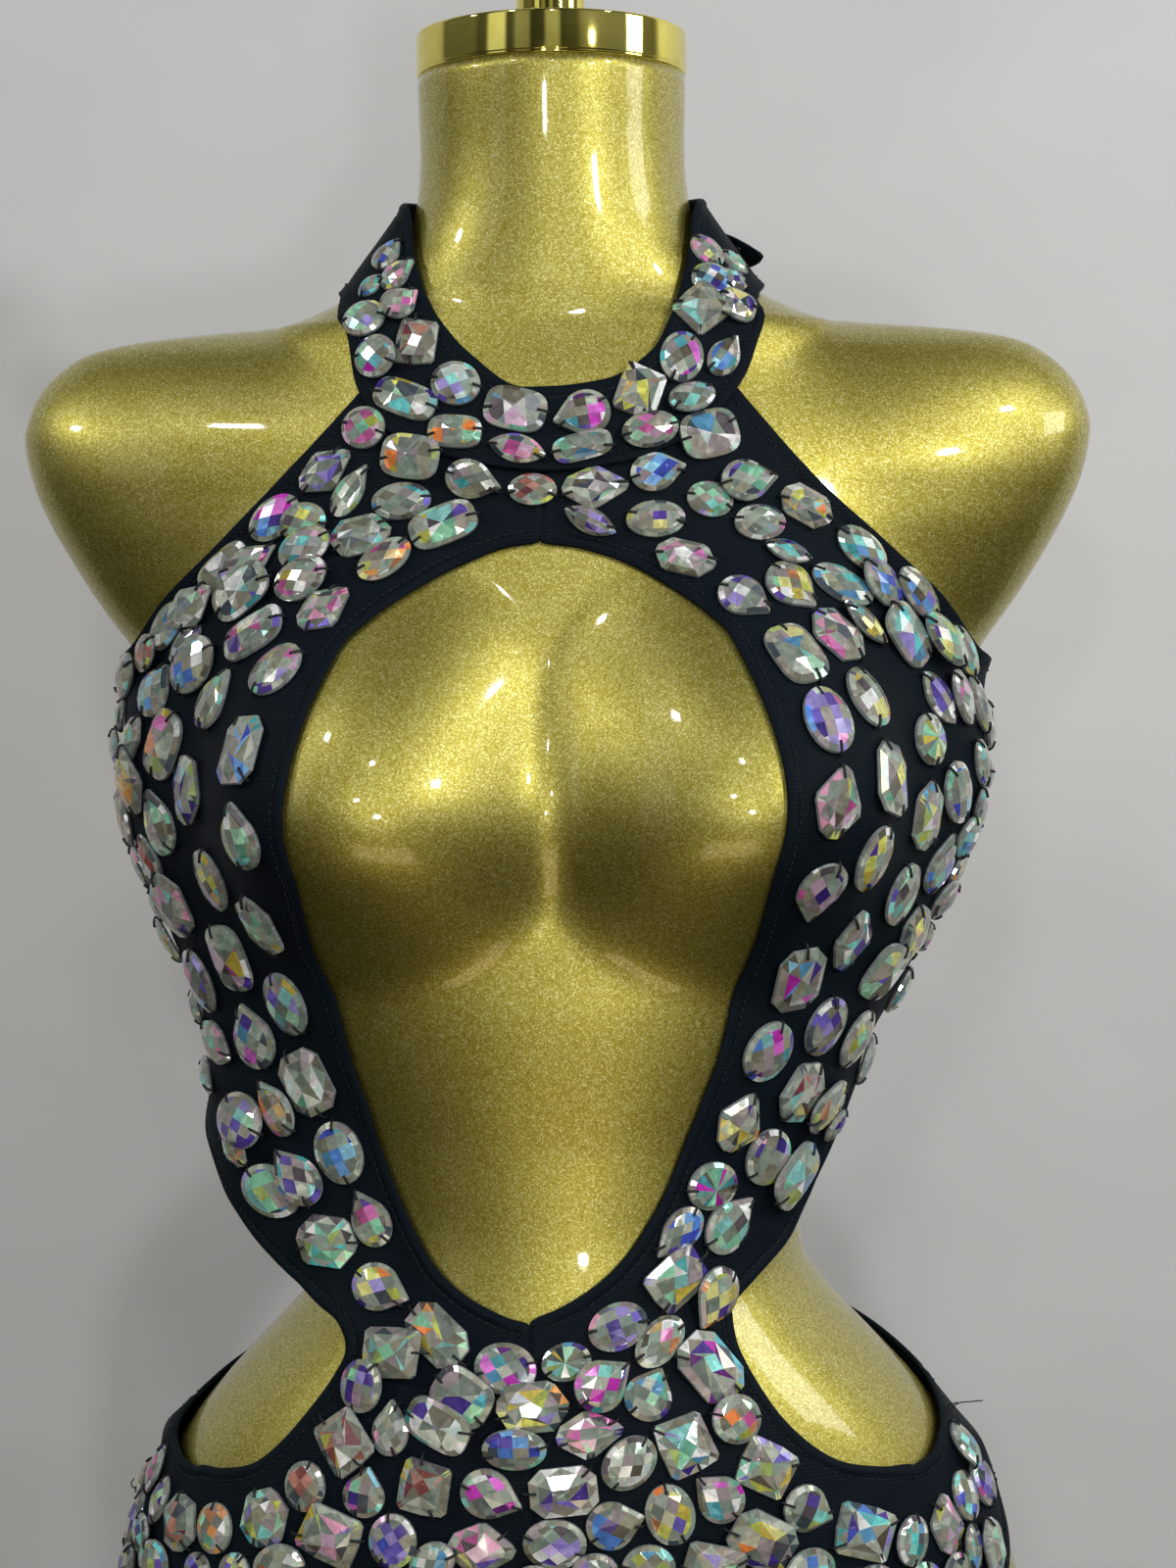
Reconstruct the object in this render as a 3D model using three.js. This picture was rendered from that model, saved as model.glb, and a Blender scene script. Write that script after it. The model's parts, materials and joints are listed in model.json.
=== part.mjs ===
import * as THREE from "three";

// Stage bodysuit (halter, keyhole front, side cutouts, high leg) worn by a limbless dress form.
// Millimetres, +Z up, the front faces -Y, viewer's left is -X. The form stands on Z = 0.
// Every surface is written about the form's upright axis: an angle from the front (degrees,
// viewer's left negative) and a height.

// ------------------------------------------------------------------ named sizes
const CLOTH = 1.2; // wall of the knit, with its hem
const EASE = 1.2; // air between form and cloth where it is worn tight
const SEAM = 0.3; // gap between two pieces that are sewn together
const LAP = 1; // air between two cloths that lie on each other
const SHIFT_Y = 0.22; // moves the whole so that its box is centred on the axis

const NECK_TOP = 740.2; // top of the form's neck
const CAP_BASE = 740.5;
const CAP_HEIGHT = 15.5;
const CAP_RADIUS = 50.6;
const CAP_BEVEL = 1.6;
const POST_RADIUS = 12.8;
const POST_HEIGHT = 44;
const POST_ROUND = 4.5;

const BASE_ROUND = 7; // radius of the form's lower rim
const CROTCH_HEIGHT = 46; // top of the channel between the two stubs
const CROTCH_HALF = 54; // half width of the channel at the floor
const CROTCH_FLAT = 0.5; // share of that half width that is flat on top
const FRONT_RISE = { from: 20, over: 70, by: 40 };
const BACK_RISE = { from: 20, over: 95, by: 50 };

const BUST = { side: 66, height: 474, rise: 52, wide: 80, up: 98, down: 75 };
const WING_SQUARE = 2.5;
const WING_BLEND = 14;

const SIDE = 92; // angle of the side seams of band and brief
const CROWD = 1.3; // crowds the front's columns towards its outer edge
const FORM_COLUMNS = 80;
const FORM_CROWD = 0.45; // crowds the form's columns towards the shoulder tips

// ------------------------------------------------------------------ short tables
// General figure of the form, by height: half width, depth in front and behind, squareness.
const TORSO = [
  // height, half width, front, back, square front, square back
  [0, 156, 80, 92, 2.25, 2.15],
  [40, 163, 86, 100, 2.25, 2.15],
  [80, 171, 88, 111, 2.25, 2.15],
  [120, 176, 89, 116, 2.25, 2.15],
  [150, 174.5, 92, 112, 2.25, 2.15],
  [180, 169, 95, 103, 2.2, 2.15],
  [208, 159.5, 97, 92, 2.15, 2.15],
  [229, 148, 97, 83, 2.1, 2.15],
  [249, 133, 95, 75, 2.1, 2.1],
  [268, 115.5, 91, 69, 2.1, 2.1],
  [284, 100.5, 87, 65, 2.1, 2.1],
  [300, 90, 84, 62, 2.1, 2.1],
  [320, 88, 82, 62, 2.1, 2.1],
  [345, 93, 82, 65, 2.15, 2.15],
  [365, 100, 84, 69, 2.2, 2.2],
  [383, 109.5, 86, 73, 2.2, 2.2],
  [402, 121, 87, 77, 2.25, 2.25],
  [420, 131, 87, 80, 2.3, 2.3],
  [440, 139.5, 86, 83, 2.4, 2.3],
  [457, 147, 85, 84, 2.45, 2.35],
  [476, 151, 84, 85, 2.5, 2.35],
  [500, 152, 82, 86, 2.45, 2.35],
  [526, 149, 79, 86, 2.4, 2.35],
  [560, 140, 73, 83, 2.35, 2.3],
  [600, 129, 64, 76, 2.3, 2.3],
  [625, 121, 57, 71, 2.2, 2.2],
  [640, 114, 52, 68, 2.15, 2.15],
  [647, 107, 50, 66, 2.1, 2.1],
  [650, 98, 49.5, 65, 2.05, 2.05],
  [654, 88, 49, 64, 2, 2],
  [660, 76, 48.5, 62, 2, 2],
  [668, 65.5, 48.5, 59, 2, 2],
  [678, 57, 48.5, 56, 2, 2],
  [692, 52, 49, 53, 2, 2],
  [715, 50.5, 49.5, 51, 2, 2],
  [742, 50, 50, 50, 2, 2],
];
// The shoulders, which end in plain rounded stubs.
const WING = [
  // height, half width, half depth
  [470, 120, 20],
  [500, 138, 36],
  [526, 158, 47],
  [545, 172, 52],
  [560, 181.5, 54.5],
  [575, 190, 56],
  [590, 196.5, 56],
  [600, 199, 54.5],
  [608, 200, 52],
  [617, 198, 47.5],
  [627, 192.5, 41],
  [635, 184, 34],
  [640, 175, 28],
  [643.5, 160, 22],
  [646, 138, 17],
  [648.5, 105, 12],
  [651, 60, 8],
];
// How far the worn cloth stands off the form at its sides; it is worn a little off centre.
const SLACK = [
  // height, viewer's left, viewer's right
  [200, 0, 0],
  [232, 1.5, 1.5],
  [262, 1.5, 2.5],
  [272, 3, 2],
  [288, 17, 2],
  [302, 27, 5],
  [317, 35, 9],
  [330, 38.5, 12],
  [345, 38.5, 12],
  [365, 31, 8],
  [383, 22.5, 5],
  [402, 15.5, 4.5],
  [420, 13, 3.2],
  [439, 11.5, 3.2],
  [457, 11, 4],
  [476, 10, 6],
  [500, 9.5, 5],
  [526, 4.5, 3.5],
  [545, 1.5, 1.5],
  [575, 0, 0],
  [700, 0, 0],
];
// Where round the side that slack begins and is full.
const SLACK_ARC = [
  // height, begins, full
  [200, 50, 75],
  [260, 30, 55],
  [300, 38, 72],
  [345, 44, 84],
  [400, 58, 88],
  [526, 62, 88],
  [700, 62, 88],
];
// Two local folds where the hip straps are joined to the front.
const FOLDS = [
  // angle, height, rise, half arc (degrees), half height
  [-91, 233, 4.5, 11, 7],
  [90, 224, 3, 9, 10],
];
// Front halves as rungs from the inner edge (centre seam, keyhole) to the outer edge
// (armhole, side seam, cutout, leg). Where the hip strap runs on from the outer edge to the
// brief's side seam, strap gives its height there. steps = mesh steps up to the next rung.
const FRONT_LEFT = [
  // inner angle, inner height, outer angle, outer height, strap, steps
  [-1.6, 602, -49.5, 631, null, 2], // neckline, under the collar
  [-2.2, 577, -58.1, 597.2, null, 1],
  [-2.9, 565.2, -63, 581.5, null, 1], // top of the keyhole
  [-12.5, 562.6, -67.2, 568.5, null, 2],
  [-26.6, 553.5, -74.2, 549.5, null, 2],
  [-36.1, 537.6, -82, 529.5, null, 3],
  [-38.2, 527, -SIDE, 520.5, null, 3], // armhole meets the side seam
  [-38, 489, -SIDE, 484, null, 3],
  [-39.2, 451, -SIDE, 448, null, 3],
  [-46.9, 411.7, -SIDE, 412, null, 2],
  [-46.9, 383, -SIDE, 386, null, 2],
  [-45.4, 364, -SIDE, 366, null, 1], // foot of the side seam
  [-44.4, 351, -87, 354.5, null, 2],
  [-40.2, 330.5, -77.8, 331, null, 2],
  [-30.4, 308, -66, 308, null, 1],
  [-21.5, 298, -56.5, 293.5, null, 1],
  [-12, 291.6, -49.8, 285.5, null, 1],
  [-6.7, 288.9, -47.7, 276, null, 2], // foot of the keyhole
  [-6.4, 270, -50.8, 258, null, 2],
  [-6, 250, -58.5, 235.5, null, 2],
  [-5.5, 232, -70, 226, 243, 3], // lowest place of the side cutout
  [-4.5, 194, -72, 191, 216, 2],
  [-4, 172, -74, 160, 190, 2], // foot of the brief's side seam, leg opening begins
  [-2.8, 148, -59, 138, null, 2],
  [-1.6, 126, -42, 118.5, null, 1],
  [-0.8, 112, -28, 107, null, 1],
  [0, 100, -17.5, 100.5, null, 0], // seam of the gusset
];
const FRONT_RIGHT = [
  [-1.6, 602, 49.5, 629, null, 2],
  [-2.2, 577, 57, 595.5, null, 1],
  [-2.9, 565.2, 62, 579.5, null, 1],
  [8, 562.4, 67, 566, null, 2],
  [22, 555.2, 74, 547, null, 2],
  [32.5, 538.9, 82, 525.5, null, 3],
  [34.5, 529, SIDE, 517.5, null, 3],
  [34.6, 490, SIDE, 482, null, 3],
  [34.4, 453, SIDE, 448, null, 3],
  [38.2, 413, SIDE, 414, null, 2],
  [37, 386, SIDE, 388, null, 2],
  [34.3, 368.5, SIDE, 371, null, 1],
  [31.8, 356, 80, 359, null, 2],
  [26.2, 334, 69, 334, null, 2],
  [15.6, 310.8, 61.5, 313, null, 1],
  [7, 300.5, 50, 300.2, null, 1],
  [0.5, 295, 41.3, 290.5, null, 1],
  [-6.7, 288.9, 40.3, 280, null, 2],
  [-6.4, 270, 43.2, 259.5, null, 2],
  [-6, 250, 52.5, 237.6, null, 2],
  [-5.5, 232, 66, 227.4, 252, 3],
  [-4.5, 194, 70, 198, 232, 2],
  [-4, 172, 73.5, 172, 213, 2],
  [-2.8, 148, 60, 147, null, 2],
  [-1.6, 126, 43, 124, null, 1],
  [-0.8, 112, 28.5, 109, null, 1],
  [0, 100, 17.5, 100.5, null, 0],
];
// Back pieces by angle, from the viewer's left side seam round the back to the right one.
const BACK_BAND = [
  // angle, top height, foot height
  [-SIDE, 520.5, 366],
  [-120, 506, 371],
  [-150, 498, 378],
  [-180, 496, 382],
  [-210, 497, 381],
  [-240, 504, 376],
  [-360 + SIDE, 517.5, 371],
];
const BACK_LOWER = [
  // angle, top height, foot height
  [-SIDE, 243, 190],
  [-104, 257, 178],
  [-122, 271, 157],
  [-142, 281, 134],
  [-158, 286, 119],
  [-166, 288, 112],
  [-180, 290, 112],
  [-194, 291, 112],
  [-202, 290, 119],
  [-218, 288, 135],
  [-238, 281, 164],
  [-256, 268, 194],
  [-360 + SIDE, 252, 213],
];
// Collar by angle: its inner (upper) edge on the neck and its outer edge on chest and shoulder.
const COLLAR = [
  // angle, inner height, outer height
  [-179.7, 701, 669],
  [-150, 700, 668],
  [-120, 698, 665],
  [-90, 694.5, 661],
  [-74, 691, 657],
  [-67, 686, 651],
  [-60, 677, 643],
  [-52, 666, 620.6],
  [-43, 652, 605],
  [-27, 632.5, 595],
  [-8, 619.5, 590.5],
  [0, 619.6, 589.8],
  [18, 622, 592],
  [33, 632, 598.3],
  [43, 648.5, 608],
  [52.5, 665, 622.6],
  [60, 676, 640],
  [67, 685, 653],
  [75, 691, 658],
  [90, 694.5, 662],
  [120, 698, 665],
  [150, 700, 668],
  [179.7, 701, 669],
];
// The neck tab lies on the collar behind the neck; its pointed end stands out at the side.
const TAB = [
  // angle, middle height, half width, stands off
  [196, 686, 6, 0],
  [170, 685.5, 6, 0],
  [140, 684, 6, 0],
  [118, 681, 6, 0.6],
  [104, 677.5, 6, 3],
  [95, 674.8, 3.4, 7.5],
  [91, 673.4, 0.8, 10.5],
];
// The gusset's half width along its way from the front seam, under the form, to the back seam.
const GUSSET = [
  // way (0 to 1), half width
  [0, 26.2],
  [0.25, 22],
  [0.5, 21],
  [0.75, 23],
  [1, 28],
];

// ------------------------------------------------------------------ helpers
const rad = (d) => (d * Math.PI) / 180;
const clamp = (t, a = 0, b = 1) => Math.min(b, Math.max(a, t));
const ease = (t) => ((t = clamp(t)), t * t * (3 - 2 * t));
const mix = (a, b, t) => a + (b - a) * t;
const wrap = (d) => ((((d + 180) % 360) + 360) % 360) - 180;
const smax = (a, b, k) => {
  const h = clamp(0.5 + (0.5 * (a - b)) / k);
  return b + (a - b) * h + k * h * (1 - h);
};

// One column of a table as a smooth curve without overshoot (monotone cubic).
function curve(rows, key, col) {
  const turn = rows[0][key] > rows[rows.length - 1][key];
  const list = turn ? [...rows].reverse() : rows;
  const xs = list.map((r) => r[key]),
    ys = list.map((r) => r[col]),
    n = xs.length;
  const h = [],
    d = [];
  for (let i = 0; i < n - 1; i++) {
    h.push(xs[i + 1] - xs[i]);
    d.push((ys[i + 1] - ys[i]) / h[i]);
  }
  const m = new Array(n).fill(0);
  m[0] = d[0];
  m[n - 1] = d[n - 2];
  for (let i = 1; i < n - 1; i++)
    if (d[i - 1] * d[i] > 0) {
      const a = 2 * h[i] + h[i - 1],
        b = h[i] + 2 * h[i - 1];
      m[i] = (a + b) / (a / d[i - 1] + b / d[i]);
    }
  return (x) => {
    x = clamp(x, xs[0], xs[n - 1]);
    let i = 0;
    while (i < n - 2 && x > xs[i + 1]) i++;
    const t = (x - xs[i]) / h[i];
    return (
      (1 + 2 * t) * (1 - t) ** 2 * ys[i] +
      t * (1 - t) ** 2 * h[i] * m[i] +
      t * t * (3 - 2 * t) * ys[i + 1] +
      t * t * (t - 1) * h[i] * m[i + 1]
    );
  };
}
// Straight lines between the rows of a table.
function lines(rows, key, col) {
  return (x) => {
    if (x <= rows[0][key]) return rows[0][col];
    for (let i = 1; i < rows.length; i++)
      if (x <= rows[i][key])
        return mix(
          rows[i - 1][col],
          rows[i][col],
          (x - rows[i - 1][key]) / (rows[i][key] - rows[i - 1][key]),
        );
    return rows[rows.length - 1][col];
  };
}

// ------------------------------------------------------------------ the form's surface
const torso = [1, 2, 3, 4, 5].map((c) => curve(TORSO, 0, c));
const wing = [1, 2].map((c) => curve(WING, 0, c));

function torsoRadius(a, z) {
  const s = Math.abs(Math.sin(a)),
    c = Math.cos(a),
    n = c >= 0 ? torso[3](z) : torso[4](z),
    b = c >= 0 ? torso[1](z) : torso[2](z);
  return ((s / torso[0](z)) ** n + (Math.abs(c) / b) ** n) ** (-1 / n);
}
function wingRadius(a, z) {
  const s = Math.abs(Math.sin(a)),
    c = Math.abs(Math.cos(a)),
    n = WING_SQUARE;
  const r = ((s / wing[0](z)) ** n + (c / wing[1](z)) ** n) ** (-1 / n);
  const low = WING[0][0],
    high = WING[WING.length - 1][0];
  return r * clamp((z - low) / 30) * clamp((high - z) / 3);
}
function bustRise(x, z) {
  const v = (z - BUST.height) / (z > BUST.height ? BUST.up : BUST.down);
  const one = (side) =>
    clamp(1 - ((x - side * BUST.side) / BUST.wide) ** 2 - v * v) ** 2;
  return BUST.rise * (one(-1) + one(1));
}
function formRadius(deg, z) {
  const a = rad(deg),
    r = smax(torsoRadius(a, z), wingRadius(a, z), WING_BLEND);
  return r + bustRise(r * Math.sin(a), z) * clamp(Math.cos(a)) ** 0.8;
}
const at = (deg, r, z) => [
  r * Math.sin(rad(deg)),
  -r * Math.cos(rad(deg)),
  z,
];

// The underside: two flat stubs with a channel between them from front to back.
function channel(x, y) {
  const front = FRONT_RISE.by * (clamp(-y - FRONT_RISE.from, 0, 200) / FRONT_RISE.over) ** 2,
    back = BACK_RISE.by * (clamp(y - BACK_RISE.from, 0, 200) / BACK_RISE.over) ** 2;
  const u = Math.abs(x) / CROTCH_HALF;
  return (CROTCH_HEIGHT + front + back) * (1 - ease((u - CROTCH_FLAT) / (1 - CROTCH_FLAT)));
}
// Height of the lower rim at an angle, where the rounded wall runs into the underside.
function rimHeight(deg) {
  let z = 0;
  for (let i = 0; i < 40; i++) {
    const [x, y] = at(deg, formRadius(deg, z + BASE_ROUND) - BASE_ROUND, 0);
    z = mix(z, channel(x, y), 0.6);
  }
  return z < 0.02 ? 0 : z;
}

// ------------------------------------------------------------------ the worn cloth's surface
const slackLeft = curve(SLACK, 0, 1),
  slackRight = curve(SLACK, 0, 2),
  arcFrom = lines(SLACK_ARC, 0, 1),
  arcTo = lines(SLACK_ARC, 0, 2);

function slack(deg, z) {
  const w = wrap(deg),
    p = Math.abs(w);
  const share = ease((p - arcFrom(z)) / (arcTo(z) - arcFrom(z))) * (1 - ease((p - 105) / 60));
  let s = (w < 0 ? slackLeft(z) : slackRight(z)) * share;
  for (const [angle, height, rise, arc, half] of FOLDS)
    s += rise * Math.exp(-(((w - angle) / arc) ** 2) - ((z - height) / half) ** 2);
  return s;
}
const innerRadius = (deg, z) => formRadius(deg, z) + EASE + slack(deg, z);

// Unit normal of a surface given as a radius over angle and height.
function normalOf(radius, deg, z) {
  const e = 0.4,
    f = 0.6;
  const a = at(deg + e, radius(deg + e, z), z),
    b = at(deg - e, radius(deg - e, z), z),
    c = at(deg, radius(deg, z + f), z + f),
    d = at(deg, radius(deg, z - f), z - f);
  const u = new THREE.Vector3(a[0] - b[0], a[1] - b[1], a[2] - b[2]),
    v = new THREE.Vector3(c[0] - d[0], c[1] - d[1], c[2] - d[2]);
  return u.cross(v).normalize();
}
// Both faces of a cloth at one place: [inner point, outer point].
function clothAt(radius, deg, z, wall = CLOTH) {
  const p = at(deg, radius(deg, z), z),
    n = normalOf(radius, deg, z);
  return [p, [p[0] + n.x * wall, p[1] + n.y * wall, p[2] + n.z * wall]];
}

// ------------------------------------------------------------------ meshes
function meshOf(name, points, faces, colour, metalness, roughness) {
  let volume = 0;
  for (const [a, b, c] of faces) {
    const p = points[a],
      q = points[b],
      r = points[c];
    volume +=
      p[0] * (q[1] * r[2] - q[2] * r[1]) -
      p[1] * (q[0] * r[2] - q[2] * r[0]) +
      p[2] * (q[0] * r[1] - q[1] * r[0]);
  }
  const g = new THREE.BufferGeometry();
  g.setAttribute(
    "position",
    new THREE.Float32BufferAttribute(
      points.flatMap(([x, y, z]) => [x, y + SHIFT_Y, z]),
      3,
    ),
  );
  g.setIndex(faces.flatMap(([a, b, c]) => (volume < 0 ? [a, c, b] : [a, b, c])));
  g.computeVertexNormals();
  const mesh = new THREE.Mesh(
    g,
    new THREE.MeshStandardMaterial({ color: colour, metalness, roughness, flatShading: true }),
  );
  mesh.name = name;
  return mesh;
}
// A cloth wall from a grid of [inner, outer] points; a null cell is left open. Its free edges
// are found and closed.
function wall(name, grid, colour) {
  const points = [],
    faces = [],
    id = grid.map((row) => row.map((cell) => (cell ? points.push(cell[0], cell[1]) - 2 : -1)));
  const edges = new Map();
  const edge = (a, b) => {
    if (!edges.delete(b + ">" + a)) edges.set(a + ">" + b, [a, b]);
  };
  for (let i = 0; i < grid.length - 1; i++)
    for (let j = 0; j < grid[i].length - 1; j++) {
      const q = [id[i][j], id[i][j + 1], id[i + 1][j + 1], id[i + 1][j]];
      if (q.some((v) => v < 0)) continue;
      const [a, b, c, d] = q;
      faces.push([a, c, b], [a, d, c], [a + 1, b + 1, c + 1], [a + 1, c + 1, d + 1]);
      q.forEach((v, k) => edge(v, q[(k + 1) % 4]));
    }
  for (const [a, b] of edges.values()) faces.push([a, b, b + 1], [a, b + 1, a + 1]);
  return meshOf(name, points, faces, colour, 0, 0.85);
}

// ------------------------------------------------------------------ pieces
const KNIT = 0x10151f,
  GOLD = 0xa8925a,
  POLISHED = 0xcfae5e;

function frontHalf(name, table, across, strapAcross) {
  const rows = table.map((r, i) => [i, ...r]);
  const col = [1, 2, 3, 4].map((c) => curve(rows, 0, c));
  const strapped = rows.filter((r) => r[5] !== null),
    strap = curve(strapped, 0, 5),
    first = strapped[0][0],
    last = strapped[strapped.length - 1][0];
  const side = Math.sign(table[0][2]);
  const grid = [];
  // the centre seams and the side seams leave their gap
  const place = (deg, z, trim) => {
    const turn = (SEAM / 2 / innerRadius(deg, z)) * (180 / Math.PI);
    return clothAt(innerRadius, deg + trim * turn, z);
  };
  table.forEach((row, i) => {
    const steps = Math.max(1, row[5]);
    for (let k = 0; k < (i === table.length - 1 ? 1 : steps); k++) {
      const t = i + k / steps,
        [ia, iz, oa, oz] = col.map((f) => f(t)),
        line = [];
      for (let j = 0; j <= across; j++) {
        const u = 1 - (1 - j / across) ** CROWD;
        line.push(place(mix(ia, oa, u), mix(iz, oz, u), j === 0 ? side : j === across ? -side : 0));
      }
      for (let j = 1; j <= strapAcross; j++) {
        const u = j / strapAcross;
        line.push(
          t < first || t > last
            ? null
            : place(mix(oa, side * SIDE, u), mix(oz, strap(t), u), j === strapAcross ? -side : 0),
        );
      }
      grid.push(line);
    }
  });
  return wall(name, grid, KNIT);
}

function backPiece(name, table, across, down) {
  const top = curve(table, 0, 1),
    foot = curve(table, 0, 2);
  const from = table[0][0],
    to = table[table.length - 1][0],
    grid = [];
  for (let i = 0; i <= down; i++) {
    const line = [];
    for (let j = 0; j <= across; j++) {
      let deg = mix(from, to, j / across);
      const z = mix(top(deg), foot(deg), i / down);
      const trim = (SEAM / 2 / innerRadius(deg, z)) * (180 / Math.PI);
      if (j === 0) deg -= trim;
      if (j === across) deg += trim;
      line.push(clothAt(innerRadius, deg, z));
    }
    grid.push(line);
  }
  return wall(name, grid, KNIT);
}

// The collar bridges the hollow between neck and shoulder, and lies over the front halves.
const collarIn = curve(COLLAR, 0, 1),
  collarOut = curve(COLLAR, 0, 2);
function collarRadius(deg, z) {
  const w = clamp(wrap(deg), -179.7, 179.7),
    lift = EASE + CLOTH + LAP;
  const zi = collarIn(w),
    zo = collarOut(w);
  const t = clamp((zi - z) / (zi - zo), -0.2, 1.2);
  const chord = mix(formRadius(w, zi), formRadius(w, zo), t);
  const bridge = ease((Math.abs(w) - 40) / 35);
  return lift + smax(formRadius(w, z), chord - (1 - bridge) * 12, 2);
}
function collar() {
  const grid = [];
  const across = 68,
    down = 4;
  for (let j = 0; j <= across; j++) {
    const deg = mix(-179.7, 179.7, j / across),
      line = [];
    for (let i = 0; i <= down; i++)
      line.push(clothAt(collarRadius, deg, mix(collarIn(deg), collarOut(deg), i / down)));
    grid.push(line);
  }
  return wall("collar", grid, KNIT);
}
function neckTab() {
  const keys = TAB.map((r, i) => [i, ...r]);
  const col = [1, 2, 3, 4].map((c) => curve(keys, 0, c));
  const grid = [],
    steps = 24;
  for (let k = 0; k <= steps; k++) {
    const [deg, mid, half, off] = col.map((f) => f((k / steps) * (TAB.length - 1)));
    const lift = (d, z) => collarRadius(d, z) + CLOTH + LAP + off;
    grid.push([-1, 0, 1].map((s) => clothAt(lift, deg, mid + s * half)));
  }
  return wall("neck_tab", grid, KNIT);
}

// The gusset runs down the front wall, round the rim, under the channel and up behind.
function gussetPath(x) {
  const list = [];
  const wallPoint = (back, z) => {
    let deg = 0;
    for (let i = 0; i < 12; i++) {
      const r = formRadius(back ? 180 - deg : deg, z);
      deg = (Math.asin(x / r) * 180) / Math.PI;
    }
    return at(back ? 180 - deg : deg, formRadius(back ? 180 - deg : deg, z), z)[1];
  };
  const rim = (back) => {
    let z = CROTCH_HEIGHT;
    for (let i = 0; i < 40; i++)
      z = mix(z, channel(x, wallPoint(back, z + BASE_ROUND) + (back ? -1 : 1) * BASE_ROUND), 0.6);
    return z;
  };
  const R = BASE_ROUND,
    zf = rim(false),
    zb = rim(true),
    yf = wallPoint(false, zf + R),
    yb = wallPoint(true, zb + R),
    top = { front: 100 - SEAM, back: 112 - SEAM };
  for (const k of [0, 0.5]) list.push([wallPoint(false, mix(top.front, zf + R, k)), mix(top.front, zf + R, k)]);
  for (const t of [0, 22.5, 45, 67.5])
    list.push([yf + R - R * Math.cos(rad(t)), zf + R - R * Math.sin(rad(t))]);
  for (let k = 0; k <= 12; k++) {
    const y = mix(yf + R, yb - R, k / 12);
    list.push([y, channel(x, y)]);
  }
  for (const t of [67.5, 45, 22.5, 0])
    list.push([yb - R + R * Math.cos(rad(t)), zb + R - R * Math.sin(rad(t))]);
  for (const k of [0.5, 0]) list.push([wallPoint(true, mix(top.back, zb + R, k)), mix(top.back, zb + R, k)]);
  return list;
}
function gusset() {
  const half = curve(GUSSET, 0, 1),
    probe = gussetPath(0).length,
    across = 6,
    grid = [];
  for (let i = 0; i < probe; i++) {
    const line = [];
    for (let j = 0; j <= across; j++) {
      const x = half(i / (probe - 1)) * mix(-1, 1, j / across);
      const path = gussetPath(x),
        p = path[i],
        a = path[Math.max(0, i - 1)],
        b = path[Math.min(probe - 1, i + 1)];
      const l = Math.hypot(b[0] - a[0], b[1] - a[1]),
        n = [(b[1] - a[1]) / l, -(b[0] - a[0]) / l];
      const air = EASE + 0.5 * ease(Math.min(i, probe - 1 - i) / 3);
      const place = (d) => [x, p[0] + n[0] * d, p[1] + n[1] * d];
      line.push([place(air), place(air + CLOTH)]);
    }
    grid.push(line);
  }
  return wall("gusset", grid, KNIT);
}

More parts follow.
